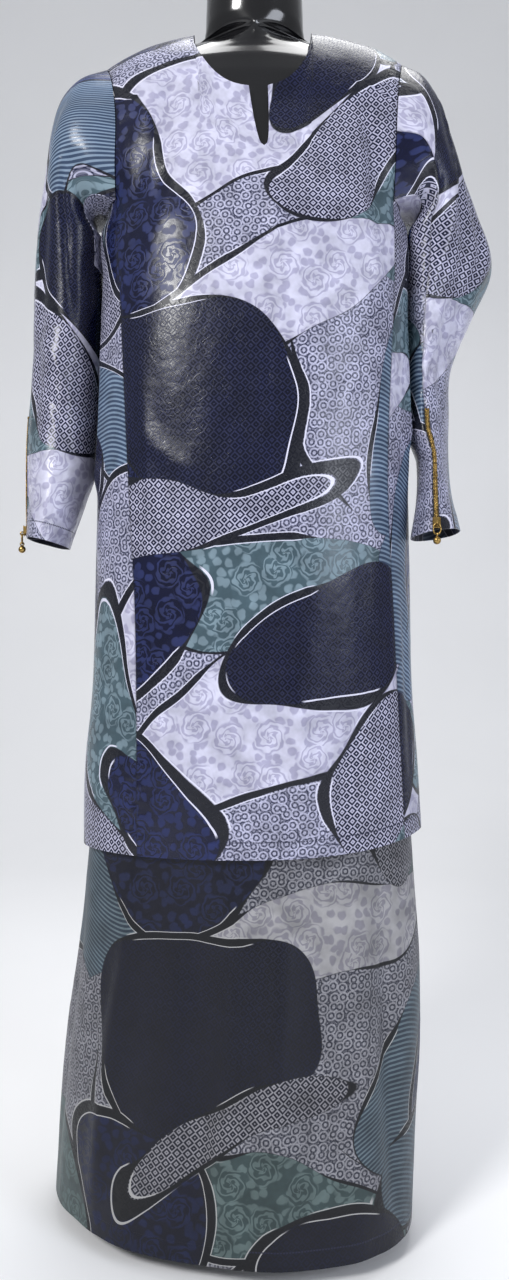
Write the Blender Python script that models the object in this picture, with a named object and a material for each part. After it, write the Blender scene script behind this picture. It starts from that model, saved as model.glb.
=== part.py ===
"""Baju kurung, a tunic and a long skirt, filled out by a limbless dress form.

Metres, +Z up, the front faces -Y, the origin is on the floor under the middle of the set.
Left and right are as seen from the front.
Every piece of cloth is a wall on one of three surfaces: the body, the sleeves and the skirt.
"""
import math
from bisect import bisect_right

import bmesh
import bpy
import numpy as np
from mathutils import Matrix, Vector

# Driving sizes
CLOTH = 0.002
SEAM_GAP = 0.0004
SIDES = ("first", "last")
ARMHOLE_GAP = 0.0008
PLACE = (-0.0051, -0.0030, 0.0)
UNDERARM = 1.105
TUNIC_HEM = 0.414
HEM_RISE_RIGHT = 0.018
SHOULDER_ROUND = 0.090
RIDGE_ROUNDS = 6
NECK_CENTRE = -0.002
NECK_HALF = 0.0645
NECK_FRONT = 1.215
NECK_BACK = 1.284
NECK_SQUARE = 2.5
NECK_BUNCHING = 0.7
SLIT_TIP = 1.143
SLIT_TOP_X = 0.004
SLIT_TIP_X = 0.010
SLIT_HALF = 0.010
SKIRT_HEM = 0.020
WAIST = 0.985
BAND_DEEP = 0.030

# Tunic body: height, half width left and right, half depth front and back, squareness
BODY = (
    (0.405, 0.190, 0.187, 0.112, 0.112, 2.20),
    (0.500, 0.187, 0.181, 0.116, 0.115, 2.25),
    (0.590, 0.179, 0.174, 0.120, 0.118, 2.30),
    (0.700, 0.176, 0.172, 0.124, 0.121, 2.30),
    (0.840, 0.173, 0.169, 0.127, 0.124, 2.35),
    (0.960, 0.170, 0.168, 0.124, 0.118, 2.40),
    (1.060, 0.166, 0.165, 0.114, 0.108, 2.55),
    (1.105, 0.160, 0.160, 0.104, 0.104, 2.60),
    (1.150, 0.180, 0.180, 0.092, 0.099, 2.50),
    (1.215, 0.190, 0.190, 0.075, 0.090, 2.50),
    (1.310, 0.190, 0.190, 0.066, 0.078, 2.50),
)
# Seams of the body panels: height, left and right edge of the front, then of the back
PANEL_EDGE = (
    (0.405, -0.121, 0.160, -0.126, 0.128),
    (0.650, -0.122, 0.146, -0.128, 0.130),
    (0.810, -0.130, 0.138, -0.132, 0.134),
    (1.017, -0.141, 0.147, -0.143, 0.144),
    (1.105, -0.147, 0.148, -0.147, 0.148),
    (1.190, -0.147, 0.151, -0.147, 0.151),
    (1.240, -0.154, 0.156, -0.154, 0.156),
    (1.275, -0.166, 0.163, -0.166, 0.163),
)
# Shoulder ridge: x, height
SHOULDER = (
    (-0.175, 1.2640),
    (-0.150, 1.2775),
    (-0.101, 1.2980),
    (-0.064, 1.3050),
    (0.000, 1.3080),
    (0.062, 1.3065),
    (0.101, 1.3000),
    (0.129, 1.2935),
    (0.152, 1.2830),
    (0.172, 1.2700),
)
# Side seam between the gores: height, angle from the side towards the front
SIDE_SEAM = ((0.405, 0.20), (0.700, 0.10), (1.105, 0.02))
# Folds: x and height at the top, x and height at the foot, bow, half width, depth out
FRONT_FOLDS = (
    (-0.078, 1.255, -0.128, 1.010, -0.010, 0.013, -0.0045),
    (-0.098, 1.240, -0.108, 1.120, -0.006, 0.012, 0.0030),
    (0.112, 1.205, 0.140, 1.080, 0.006, 0.013, -0.0040),
    (0.128, 0.960, 0.128, 0.640, 0.002, 0.009, 0.0030),
    (-0.116, 0.920, -0.108, 0.680, 0.002, 0.009, 0.0030),
    (-0.096, 0.620, -0.090, 0.420, 0.004, 0.016, 0.0040),
    (0.020, 0.900, 0.052, 0.420, 0.008, 0.026, 0.0025),
)
BACK_FOLDS = (
    (0.092, 1.250, 0.124, 1.020, 0.008, 0.014, -0.0045),
    (-0.100, 1.230, -0.122, 1.060, -0.006, 0.014, -0.0040),
    (-0.040, 1.000, -0.056, 0.430, -0.006, 0.022, 0.0035),
    (0.070, 0.900, 0.082, 0.420, 0.006, 0.018, 0.0040),
)
# Skirt: height, left and right edge, front and back depth, skew of the section
SKIRT = (
    (0.015, -0.225, 0.171, 0.143, 0.141, 0.150),
    (0.120, -0.221, 0.176, 0.132, 0.130, 0.130),
    (0.210, -0.211, 0.181, 0.122, 0.120, 0.090),
    (0.300, -0.196, 0.181, 0.112, 0.110, 0.040),
    (0.414, -0.183, 0.175, 0.104, 0.104, 0.000),
    (0.600, -0.173, 0.168, 0.110, 0.108, 0.000),
    (0.760, -0.169, 0.165, 0.114, 0.111, 0.000),
    (0.870, -0.165, 0.162, 0.115, 0.112, 0.000),
    (0.930, -0.153, 0.151, 0.108, 0.105, 0.000),
    (0.985, -0.1265, 0.1265, 0.0945, 0.0905, 0.000),
)
SKIRT_FOLDS = (
    (-0.060, 0.405, -0.072, 0.060, 0.004, 0.015, -0.0060),
    (-0.030, 0.400, -0.030, 0.040, -0.004, 0.018, 0.0050),
    (0.095, 0.390, 0.118, 0.030, 0.006, 0.020, 0.0050),
)
SKIRT_BACK_FOLDS = (
    (0.080, 0.500, 0.100, 0.030, 0.004, 0.016, -0.0060),
    (-0.050, 0.440, -0.074, 0.030, -0.004, 0.020, 0.0050),
)
# Sleeves: station, lower x and z, upper x and z, middle y, half depth, pinch of the
# pressed edges, twist of the front edge towards the body. Station 0 is the armhole.
LEFT_STATIONS = (
    (0, -0.147, 1.105, -0.166, 1.270, 0.000, 0.060, 1.00, 0.000),
    (1, -0.168, 1.107, -0.191, 1.257, 0.000, 0.061, 1.00, 0.000),
    (2, -0.175, 1.105, -0.211, 1.236, 0.001, 0.061, 1.00, 0.000),
    (3, -0.180, 1.101, -0.223, 1.207, 0.004, 0.060, 1.00, 0.000),
    (4, -0.181, 1.092, -0.231, 1.168, 0.008, 0.060, 1.02, 0.001),
    (5, -0.177, 1.077, -0.239, 1.125, 0.012, 0.059, 1.05, 0.003),
    (6, -0.171, 1.045, -0.246, 1.070, 0.016, 0.058, 1.10, 0.005),
    (7, -0.1705, 0.990, -0.250, 1.000, 0.020, 0.058, 1.12, 0.005),
    (8, -0.1735, 0.920, -0.253, 0.925, 0.018, 0.057, 1.15, 0.004),
    (9, -0.177, 0.860, -0.256, 0.862, 0.012, 0.056, 1.15, 0.004),
    (10, -0.186, 0.800, -0.255, 0.803, 0.004, 0.055, 1.15, 0.004),
    (11, -0.207, 0.738, -0.252, 0.749, -0.004, 0.054, 1.12, 0.002),
)
RIGHT_STATIONS = (
    (0, 0.148, 1.105, 0.163, 1.276, 0.000, 0.060, 1.00, 0.000),
    (1, 0.168, 1.107, 0.186, 1.259, 0.000, 0.061, 1.00, 0.000),
    (2, 0.175, 1.105, 0.203, 1.230, 0.001, 0.061, 1.02, 0.000),
    (3, 0.180, 1.101, 0.219, 1.194, 0.004, 0.061, 1.05, 0.003),
    (4, 0.181, 1.092, 0.238, 1.153, 0.008, 0.061, 1.10, 0.009),
    (5, 0.177, 1.077, 0.257, 1.112, 0.012, 0.060, 1.15, 0.018),
    (6, 0.171, 1.045, 0.273, 1.064, 0.016, 0.059, 1.15, 0.024),
    (7, 0.1695, 0.996, 0.253, 1.012, 0.018, 0.058, 1.15, 0.020),
    (8, 0.1705, 0.935, 0.225, 0.943, 0.014, 0.057, 1.15, 0.012),
    (9, 0.172, 0.880, 0.221, 0.885, 0.006, 0.056, 1.15, 0.010),
    (10, 0.179, 0.835, 0.217, 0.838, -0.006, 0.055, 1.12, 0.008),
    (11, 0.175, 0.790, 0.217, 0.793, -0.026, 0.054, 1.10, 0.008),
    (12, 0.166, 0.744, 0.221, 0.753, -0.046, 0.053, 1.05, 0.008),
)
# Folds of a sleeve: angle, first and last station, half angle, depth out
LEFT_SLEEVE_FOLDS = (
    (0.80, 1.5, 9.5, 0.20, -0.0040),
    (2.30, 2.0, 9.0, 0.25, -0.0045),
    (1.50, 4.5, 7.5, 0.30, 0.0030),
)
RIGHT_SLEEVE_FOLDS = (
    (0.75, 2.0, 9.0, 0.18, -0.0050),
    (2.40, 2.0, 9.5, 0.25, -0.0045),
    (1.30, 5.0, 7.0, 0.30, 0.0030),
)
SQUARE_FADE = 4.0
FOLD_FADE = 0.020
PANEL_STEPS = (4e-4, 1e-4)
SLEEVE_STEPS = (0.08, 0.2)
GUSSET_END = 6
GUSSET_GAP = 0.0020
UNDERARM_SPAN = 0.125
SLEEVE_COLUMN = 0.34
ZIP_HALF = 0.004
SLEEVES = (
    dict(name="left", side=-1, edge=0, stations=LEFT_STATIONS, folds=LEFT_SLEEVE_FOLDS,
         zip_angle=1.42, zip_radius=0.055, zip_top=8.6, sense=1),
    dict(name="right", side=1, edge=1, stations=RIGHT_STATIONS, folds=RIGHT_SLEEVE_FOLDS,
         zip_angle=0.0, zip_radius=0.025, zip_top=9.0, sense=-1),
)

# Dress form: height, half width, half depth front and back, squareness
FORM = (
    (0.760, 0.112, 0.076, 0.076, 2.1),
    (0.766, 0.132, 0.088, 0.088, 2.1),
    (0.785, 0.147, 0.099, 0.098, 2.2),
    (0.820, 0.153, 0.103, 0.101, 2.2),
    (0.870, 0.154, 0.104, 0.102, 2.2),
    (0.930, 0.142, 0.098, 0.095, 2.2),
    (0.985, 0.1240, 0.0920, 0.0880, 2.174),
    (1.040, 0.133, 0.096, 0.091, 2.2),
    (1.100, 0.144, 0.096, 0.095, 2.3),
    (1.143, 0.148, 0.085, 0.092, 2.3),
    (1.180, 0.149, 0.076, 0.087, 2.2),
    (1.215, 0.150, 0.067, 0.080, 2.1),
    (1.240, 0.149, 0.062, 0.072, 2.0),
    (1.262, 0.150, 0.055, 0.060, 1.75),
    (1.273, 0.146, 0.050, 0.054, 1.50),
    (1.280, 0.136, 0.048, 0.051, 1.30),
    (1.287, 0.122, 0.047, 0.048, 1.10),
    (1.2935, 0.103, 0.047, 0.047, 0.95),
    (1.2975, 0.086, 0.047, 0.047, 0.90),
    (1.3000, 0.068, 0.047, 0.047, 1.10),
    (1.3035, 0.0565, 0.047, 0.047, 1.60),
    (1.314, 0.0545, 0.048, 0.048, 2.0),
    (1.330, 0.054, 0.050, 0.050, 2.0),
    (1.358, 0.053, 0.050, 0.050, 2.0),
    (1.366, 0.050, 0.047, 0.047, 2.0),
    (1.370, 0.042, 0.040, 0.040, 2.0),
)
FORM_SEGMENTS = 32
POLE_RADIUS = 0.014
BASE_RADIUS = 0.110
BASE_THICK = 0.010
BASE_BEVEL = 0.003
TOUCH = 0.0003

# Zip hardware: width, length and thickness of the slider, then the ring, eyes and ball
SLIDER = (0.008, 0.011, 0.004)
SLIDER_BEVEL = 0.0008
SLIDER_UP = 0.15
EYE_PROUD = 0.0016
EYE_LOW = 0.003
EYE_RADIUS = 0.0019
WIRE_RADIUS = 0.0007
RING_HALF = (0.0058, 0.0038)
BALL_RADIUS = 0.004


def along(table, key):
    """Values at a key, on a smooth curve through the rows of a table."""
    keys = [row[0] for row in table]
    key = min(max(key, keys[0]), keys[-1])
    low = min(bisect_right(keys, key), len(keys) - 1) - 1
    first = max(low - 1, 0)
    last = min(low + 2, len(keys) - 1)
    span = keys[low + 1] - keys[low]
    part = (key - keys[low]) / span
    values = []
    rows = table[first], table[low], table[low + 1], table[last]
    for before, start, end, after in zip(*(row[1:] for row in rows)):
        leave = (end - before) / (keys[low + 1] - keys[first]) * span
        reach = (after - start) / (keys[last] - keys[low]) * span
        values.append(
            start * (2 * part**3 - 3 * part**2 + 1)
            + leave * (part**3 - 2 * part**2 + part)
            + end * (3 * part**2 - 2 * part**3)
            + reach * (part**3 - part**2)
        )
    return values


def signed_power(value, power):
    return math.copysign(abs(value) ** power, value)


def mix(start, end, part):
    return start + (end - start) * part


def spaced(start, end, steps):
    return [mix(start, end, step / steps) for step in range(steps + 1)]


def off_seam(x, z, first):
    """Share of a fold that is left near the side edges of a body panel."""
    left, right = along(PANEL_EDGE, z)[first:first + 2]
    return min(max(min(x - left, right - x) / FOLD_FADE, 0.0), 1.0)


def fold_relief(folds, x, z):
    """Height of the folds out of the cloth at a point."""
    relief = 0.0
    for top_x, top_z, foot_x, foot_z, bow, half, depth in folds:
        part = (top_z - z) / (top_z - foot_z)
        if 0 < part < 1:
            swell = math.sin(math.pi * part)
            line = mix(top_x, foot_x, part) + bow * swell
            relief += depth * swell**0.6 * math.exp(-(((x - line) / half) ** 2))
    return relief


def shoulder_cap(x, z):
    """Share of the full depth that is left this near to the shoulder ridge."""
    below = max(along(SHOULDER, x)[0] - z, 0.0)
    return math.sqrt(1 - (1 - min(below / SHOULDER_ROUND, 1.0)) ** 2)


def body_depth(x, z, half_depth, half_width, square):
    across = min(abs(x) / half_width, 1.0)
    return half_depth * (1 - across**square) ** (1 / square) * shoulder_cap(x, z)


def front_point(x, z):
    left, right, front, _, square = along(BODY, z)
    depth = body_depth(x, z, front, right if x > 0 else left, square)
    return np.array((x, -depth - fold_relief(FRONT_FOLDS, x, z) * off_seam(x, z, 0), z))


def back_point(x, z):
    left, right, _, back, square = along(BODY, z)
    depth = body_depth(x, z, back, right if x > 0 else left, square)
    return np.array((x, depth + fold_relief(BACK_FOLDS, x, z) * off_seam(x, z, 2), z))


def side_point(angle, z):
    """Point of the body below the underarm; the angle runs from the front, -left and +right."""
    left, right, front, back, square = along(BODY, z)
    sine, cosine = math.sin(angle), math.cos(angle)
    x = (right if sine > 0 else left) * signed_power(sine, 2 / square)
    y = -(front if cosine > 0 else back) * signed_power(cosine, 2 / square)
    return np.array((x, y, z))


def seam_angle(side, z, at_back):
    """Angle on the body of the seam between a body panel and its gore."""
    left, right, _, _, square = along(BODY, z)
    edge = along(PANEL_EDGE, z)[(1 if side > 0 else 0) + (2 if at_back else 0)]
    angle = math.asin((abs(edge) / (right if side > 0 else left)) ** (square / 2))
    return side * (math.pi - angle if at_back else angle)


def skirt_point(angle, z):
    left, right, front, back, skew = along(SKIRT, z)
    sine, cosine = math.sin(angle), math.cos(angle)
    x = (left + right) / 2 + (right - left) / 2 * signed_power(sine, 0.92)
    y = -(front if cosine > 0 else back) * signed_power(cosine, 0.92) - skew * x
    if cosine > 0:
        y -= fold_relief(SKIRT_FOLDS, x, z)
    else:
        y += fold_relief(SKIRT_BACK_FOLDS, x, z)
    return np.array((x, y, z))


def armhole_top(sleeve):
    """Height where the side edge of the body panels meets the shoulder ridge."""
    return ridge_height(lambda z: along(PANEL_EDGE, z)[sleeve["edge"]])


def ridge_height(edge_x):
    """Height where a line up the cloth, given as x for each height, meets the shoulder ridge."""
    height = PANEL_EDGE[-1][0]
    for _ in range(RIDGE_ROUNDS):
        height = along(SHOULDER, edge_x(height))[0]
    return height


def armhole_corners(sleeve):
    """Angles round the sleeve of the back and the front corner of the underarm."""
    drop = (armhole_top(sleeve) - UNDERARM) / 2
    share = drop / (2 * drop + UNDERARM_SPAN)
    return math.pi * (1 + share), math.pi * (2 - share)


def armhole_point(sleeve, angle):
    """Point on the seam of a sleeve: over the shoulder, down the edges and across the gores."""
    side, top = sleeve["side"], armhole_top(sleeve)
    middle = (top + UNDERARM) / 2
    back_corner, front_corner = armhole_corners(sleeve)
    if angle <= math.pi:
        z = mix(middle, top, math.sin(angle))
        at_front = angle < math.pi / 2
    elif angle < back_corner:
        z = mix(middle, UNDERARM, (angle - math.pi) / (back_corner - math.pi))
        at_front = False
    elif angle > front_corner:
        z = mix(UNDERARM, middle, (angle - front_corner) / (2 * math.pi - front_corner))
        at_front = True
    else:
        part = (angle - back_corner) / (front_corner - back_corner)
        start, end = seam_angle(side, UNDERARM, True), seam_angle(side, UNDERARM, False)
        return side_point(mix(start, end, part), UNDERARM) + (side * ARMHOLE_GAP, 0, 0)
    edge = along(PANEL_EDGE, z)[sleeve["edge"]]
    return (front_point(edge, z) if at_front else back_point(edge, z)) + (side * ARMHOLE_GAP, 0, 0)


def sleeve_section(sleeve, angle, station):
    """Point of a sleeve's oval section, squarer under the arm near the armhole."""
    low_x, low_z, high_x, high_z, middle_y, depth, pinch, twist = along(sleeve["stations"], station)
    seam = armhole_point(sleeve, angle)
    top = armhole_top(sleeve)
    square = max(0.0, 1 - station / SQUARE_FADE)
    seam_rise = (2 * seam[2] - top - UNDERARM) / (top - UNDERARM)
    rise = mix(signed_power(math.sin(angle), pinch), seam_rise, square)
    front = mix(math.cos(angle), -seam[1] / sleeve["stations"][0][6], square)
    half = math.hypot(high_x - low_x, high_z - low_z) / 2
    slim = math.sqrt(1 - (twist / half) ** 2)
    x = (low_x + high_x) / 2 + (high_x - low_x) / 2 * rise * slim - sleeve["side"] * twist * front
    z = (low_z + high_z) / 2 + (high_z - low_z) / 2 * rise
    return np.array((x, middle_y - depth * front, z))


def sleeve_point(sleeve, angle, station):
    angle = angle % (2 * math.pi)
    station = max(station, 0.0)
    point = sleeve_section(sleeve, angle, station)
    if station < 1:
        point += (armhole_point(sleeve, angle) - sleeve_section(sleeve, angle, 0)) * (1 - station)
    out = Vector((sleeve["side"] * math.sin(angle), -math.cos(angle), 0)).normalized()
    for middle, first, last, half, depth in sleeve["folds"]:
        if first < station < last:
            swell = math.sin(math.pi * (station - first) / (last - first)) ** 0.6
            point += np.array(out) * depth * swell * math.exp(-(((angle - middle) / half) ** 2))
    return point


def surface_normal(surface, a, b, steps=PANEL_STEPS):
    """Unit normal of a surface, by central differences."""
    step_a, step_b = steps
    along_a = surface(a + step_a, b) - surface(a - step_a, b)
    along_b = surface(a, b + step_b) - surface(a, b - step_b)
    normal = np.cross(along_a, along_b)
    return normal / np.linalg.norm(normal)


def principled(name, colour, roughness, metallic=0.0):
    material = bpy.data.materials.new(name)
    material.use_nodes = True
    shader = material.node_tree.nodes["Principled BSDF"]
    shader.inputs["Base Color"].default_value = (*colour, 1)
    shader.inputs["Roughness"].default_value = roughness
    shader.inputs["Metallic"].default_value = metallic
    return material


def add_object(name, mesh_data, material, crease=math.radians(50)):
    """Put a finished bmesh into the scene as one smooth shaded object."""
    bmesh.ops.recalc_face_normals(mesh_data, faces=mesh_data.faces)
    bmesh.ops.translate(mesh_data, verts=mesh_data.verts, vec=PLACE)
    mesh = bpy.data.meshes.new(name)
    mesh_data.to_mesh(mesh)
    mesh_data.free()
    mesh.shade_smooth()
    mesh.set_sharp_from_angle(angle=crease)
    mesh.materials.append(material)
    piece = bpy.data.objects.new(name, mesh)
    bpy.context.collection.objects.link(piece)
    return piece


def pull_in(points, borders, gap):
    """Draw the named borders of a grid of points back towards the rows beside them."""
    for border in borders:
        edge = {"first": points[:, 0], "last": points[:, -1], "foot": points[0], "top": points[-1]}[border]
        beside = {"first": points[:, 1], "last": points[:, -2], "foot": points[1], "top": points[-2]}[border]
        step = beside - edge
        edge += step / np.linalg.norm(step, axis=1, keepdims=True) * gap


def cloth(name, surface, grid, material, sense=1, shift=0.0, wrap=False,
          gaps=(), seams=(), seam_gap=SEAM_GAP / 2, steps=PANEL_STEPS):
    """A cloth wall: outer points on the surface and inner points one wall deeper.

    The grid has a row of surface coordinates for each level, the gaps are the faces left out
    as (level, column), the shift moves the whole piece along Y, and the seams are the borders
    that stand back from the next piece: first, last, foot or top.
    """
    outside = np.array([[surface(a, b) + (0, shift, 0) for a, b in row] for row in grid])
    normals = np.array([[surface_normal(surface, a, b, steps) * sense for a, b in row] for row in grid])
    inside = outside - normals * CLOTH
    pull_in(outside, seams, seam_gap)
    pull_in(inside, seams, seam_gap)
    mesh_data = bmesh.new()
    corners = {}
    outer, inner = [], []
    for outside_row, inside_row in zip(outside, inside):
        pairs = []
        for point, below in zip(outside_row, inside_row):
            place = tuple(point.round(6))
            if place not in corners:
                corners[place] = mesh_data.verts.new(point), mesh_data.verts.new(below)
            pairs.append(corners[place])
        outer.append([pair[0] for pair in pairs])
        inner.append([pair[1] for pair in pairs])
    columns = len(grid[0])
    for level in range(len(grid) - 1):
        for column in range(columns if wrap else columns - 1):
            if (level, column) in gaps:
                continue
            beside = (column + 1) % columns
            for layer in (outer, inner):
                mesh_data.faces.new((layer[level][column], layer[level][beside],
                                     layer[level + 1][beside], layer[level + 1][column]))
    twin = dict(corners.values())
    for edge in [edge for edge in mesh_data.edges if edge.is_boundary and edge.verts[0] in twin]:
        start, end = edge.verts
        mesh_data.faces.new((start, end, twin[end], twin[start]))
    bmesh.ops.delete(mesh_data, geom=[v for v in mesh_data.verts if not v.link_faces], context="VERTS")
    return add_object(name, mesh_data, material)


def hem_height(x):
    return TUNIC_HEM + HEM_RISE_RIGHT * (max(x, 0.0) / BODY[0][2]) ** 2


def neckline(x, lowest):
    """Height of the neck edge over a place between the two neck points."""
    across = min(abs(x - NECK_CENTRE) / NECK_HALF, 1.0)
    neck_point = along(SHOULDER, math.copysign(NECK_HALF, x) + NECK_CENTRE)[0]
    return mix(neck_point, lowest, (1 - across**NECK_SQUARE) ** (1 / NECK_SQUARE))


def panel_columns(left, right, shoulder_steps, neck_steps):
    """Places across a body panel at its top, closer together near the two neck points."""
    turns = [signed_power(part, NECK_BUNCHING) * math.pi / 2 for part in spaced(-1, 1, neck_steps)]
    neck = [NECK_CENTRE + NECK_HALF * signed_power(math.sin(turn), 2 / NECK_SQUARE) for turn in turns]
    return spaced(left, neck[0], shoulder_steps)[:-1] + neck + spaced(neck[-1], right, shoulder_steps)[1:]


def panel_levels(foot, top, steps):
    """Heights of a column: hem to underarm, to the top band, and closer rows over the shoulder."""
    lower, middle, upper = steps
    band = NECK_FRONT - SLIT_TIP
    levels = spaced(foot, UNDERARM, lower)
    levels += spaced(UNDERARM, top - band, middle)[1:]
    turns = spaced(0, math.pi / 2, upper)[1:]
    return levels + [top - band + band * math.sin(turn) for turn in turns]


def body_panel(at_back, steps, shoulder_steps, neck_steps):
    """Grid of a body panel as (x, height), a row for each level from the hem up."""
    first = 2 if at_back else 0
    top_left, top_right = along(PANEL_EDGE, PANEL_EDGE[-1][0])[first:first + 2]
    grid = []
    for top_x in panel_columns(top_left, top_right, shoulder_steps, neck_steps):
        on_neck = abs(top_x - NECK_CENTRE) < NECK_HALF - 1e-6
        lowest = NECK_BACK if at_back else NECK_FRONT
        share = (top_x - top_left) / (top_right - top_left)

        def edge_x(z, share=share):
            left, right = along(PANEL_EDGE, z)[first:first + 2]
            return mix(left, right, share)

        top = neckline(top_x, lowest) if on_neck else ridge_height(edge_x)
        foot = hem_height(edge_x(TUNIC_HEM))
        grid.append([(edge_x(z), z) for z in panel_levels(foot, top, steps)])
    if not at_back:
        middle = len(grid) // 2
        heights = [z for _, z in grid[middle]]
        grid[middle:middle + 1] = [[(slit_x(z, side), z) for z in heights] for side in (-1, 1)]
    return [list(row) for row in zip(*grid)], len(grid) // 2 - 1


def slit_x(z, side):
    """Edge of the neck slit, which closes at its tip and stays closed below."""
    rise = max(z - SLIT_TIP - 1e-6, 0.0) / (NECK_FRONT - SLIT_TIP)
    return mix(SLIT_TIP_X, SLIT_TOP_X, min(rise, 1.0)) + side * SLIT_HALF * rise**0.35


def gore_grid(side, at_back, steps, columns):
    """Grid of a side gore as (angle, height), between a body panel and the side seam."""
    grid = []
    for level in range(steps + 1):
        row = []
        for column in range(columns + 1):
            part = column / columns
            z = UNDERARM
            for _ in range(2):
                seam = abs(seam_angle(side, z, at_back))
                edge = math.pi / 2 - along(SIDE_SEAM, z)[0]
                angle = side * mix(seam, edge, part)
                foot = hem_height(side_point(angle, TUNIC_HEM)[0])
                z = mix(foot, UNDERARM, level / steps)
            row.append((angle, z))
        grid.append(row)
    return grid


def sleeve_grid(sleeve):
    """Angles and stations of a sleeve, with the columns of its zip and gusset marked."""
    half = ZIP_HALF / sleeve["zip_radius"]
    start = sleeve["zip_angle"] - half
    back_corner, front_corner = armhole_corners(sleeve)
    marks = (start, start + 2 * half, back_corner, front_corner, start + 2 * math.pi)
    angles = [start]
    for low, high in zip(marks, marks[1:]):
        angles += spaced(low, high, math.ceil((high - low) / SLEEVE_COLUMN))[1:]
    last = sleeve["stations"][-1][0]
    stations = spaced(0, GUSSET_END, 7) + spaced(GUSSET_END, sleeve["zip_top"], 4)[1:]
    zip_level = len(stations) - 1
    stations += spaced(sleeve["zip_top"], last, 5)[1:]
    gusset = range(angles.index(back_corner), angles.index(front_corner))
    return angles[:-1], stations, zip_level, gusset


def build_sleeve(sleeve):
    name = sleeve["name"]
    angles, stations, zip_level, gusset = sleeve_grid(sleeve)
    left_out = {(level, 0) for level in range(zip_level, len(stations) - 1)}
    left_out |= {(level, column) for level in range(7) for column in gusset}

    def surface(angle, station):
        return sleeve_point(sleeve, angle, station)

    grid = [[(angle, station) for angle in angles] for station in stations]
    satin = principled("satin_sleeve_" + name, (0.10, 0.12, 0.20), 0.35)
    cloth("sleeve_" + name, surface, grid, satin, sleeve["sense"],
          wrap=True, gaps=left_out, steps=SLEEVE_STEPS)

    across = spaced(angles[gusset.start], angles[gusset.stop], len(gusset))
    grid = [[(angle, station) for angle in across] for station in stations[:8]]
    gusset_cloth = principled("satin_gusset_" + name, (0.10, 0.12, 0.20), 0.35)
    cloth("gusset_" + name, surface, grid, gusset_cloth, sleeve["sense"],
          seams=("first", "last", "top"), seam_gap=GUSSET_GAP, steps=SLEEVE_STEPS)

    across = spaced(angles[0], angles[1], 2)
    grid = [[(angle, station) for angle in across] for station in stations[zip_level:]]
    tape = principled("zip_tape_" + name, (0.02, 0.02, 0.02), 0.6)
    cloth("zip_" + name, surface, grid, tape, sleeve["sense"],
          seams=("first", "last", "foot"), seam_gap=SEAM_GAP, steps=SLEEVE_STEPS)
    build_zip_pull(sleeve, surface, stations[-1])


def ring_mesh(mesh_data, centre, up, across, half_up, half_across, wire, steps, sides):
    """An oval ring of round wire in the plane of two directions."""
    plane_normal = up.cross(across)
    rings = []
    for step in range(steps):
        turn = 2 * math.pi * step / steps
        spoke = up * math.cos(turn) * half_up + across * math.sin(turn) * half_across
        out = (up * math.cos(turn) / half_up + across * math.sin(turn) / half_across).normalized()
        rings.append([
            mesh_data.verts.new(
                centre + spoke + (out * math.cos(roll) + plane_normal * math.sin(roll)) * wire
            )
            for roll in (2 * math.pi * side / sides for side in range(sides))
        ])
    for ring, after in zip(rings, rings[1:] + rings[:1]):
        for side in range(sides):
            beside = (side + 1) % sides
            mesh_data.faces.new((ring[side], ring[beside], after[beside], after[side]))


def union(piece, tool):
    """Join a tool into a piece, keep the tool as a hidden guide."""
    tool.hide_render = True
    tool.display_type = "WIRE"
    join = piece.modifiers.new("join", "BOOLEAN")
    join.operation = "UNION"
    join.object = tool


def build_zip_pull(sleeve, surface, station):
    """Slider at the lower end of the zip, an oval ring in its eye and a ball drop on the ring."""
    name = sleeve["name"]
    angle = sleeve["zip_angle"]
    seat_station = station - SLIDER_UP
    out = Vector(surface_normal(surface, angle, seat_station, SLEEVE_STEPS) * sleeve["sense"])
    up = Vector(surface(angle, seat_station - 0.05) - surface(angle, seat_station + 0.05)).normalized()
    across = up.cross(out).normalized()
    seat = Vector(surface(angle, seat_station)) + out * (TOUCH + SLIDER[2] / 2)
    brass = principled("brass_" + name, (0.45, 0.34, 0.16), 0.3, 1.0)

    mesh_data = bmesh.new()
    bmesh.ops.create_cube(mesh_data, size=1)
    bmesh.ops.scale(mesh_data, verts=mesh_data.verts, vec=SLIDER)
    bmesh.ops.bevel(mesh_data, geom=mesh_data.edges[:], offset=SLIDER_BEVEL, segments=1, affect="EDGES")
    turn = Matrix((across, up, out)).transposed().to_4x4()
    bmesh.ops.transform(mesh_data, verts=mesh_data.verts, matrix=Matrix.Translation(seat) @ turn)
    slider = add_object("slider_" + name, mesh_data, brass)
    level = Vector((across.x, across.y, 0)).normalized()
    down = Vector((0, 0, -1))
    forward = Vector((out.x, out.y, 0)).normalized()
    eye = seat + out * (SLIDER[2] / 2 + EYE_PROUD) - up * EYE_LOW
    add_eye("slider_eye_" + name, slider, eye, down, forward, brass)

    ring_centre = eye + down * RING_HALF[0]
    mesh_data = bmesh.new()
    ring_mesh(mesh_data, ring_centre, down, level, *RING_HALF, WIRE_RADIUS, 20, 8)
    add_object("pull_ring_" + name, mesh_data, brass)

    drop_eye = ring_centre + down * RING_HALF[0]
    mesh_data = bmesh.new()
    ball_centre = drop_eye + down * (EYE_RADIUS + BALL_RADIUS)
    bmesh.ops.create_uvsphere(mesh_data, u_segments=14, v_segments=9, radius=BALL_RADIUS,
                              matrix=Matrix.Translation(ball_centre))
    ball = add_object("ball_drop_" + name, mesh_data, brass)
    add_eye("ball_eye_" + name, ball, drop_eye, down, forward, brass)


def add_eye(name, piece, centre, down, forward, material):
    mesh_data = bmesh.new()
    ring_mesh(mesh_data, centre, down, forward, EYE_RADIUS, EYE_RADIUS, WIRE_RADIUS, 12, 6)
    union(piece, add_object(name, mesh_data, material))


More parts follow.
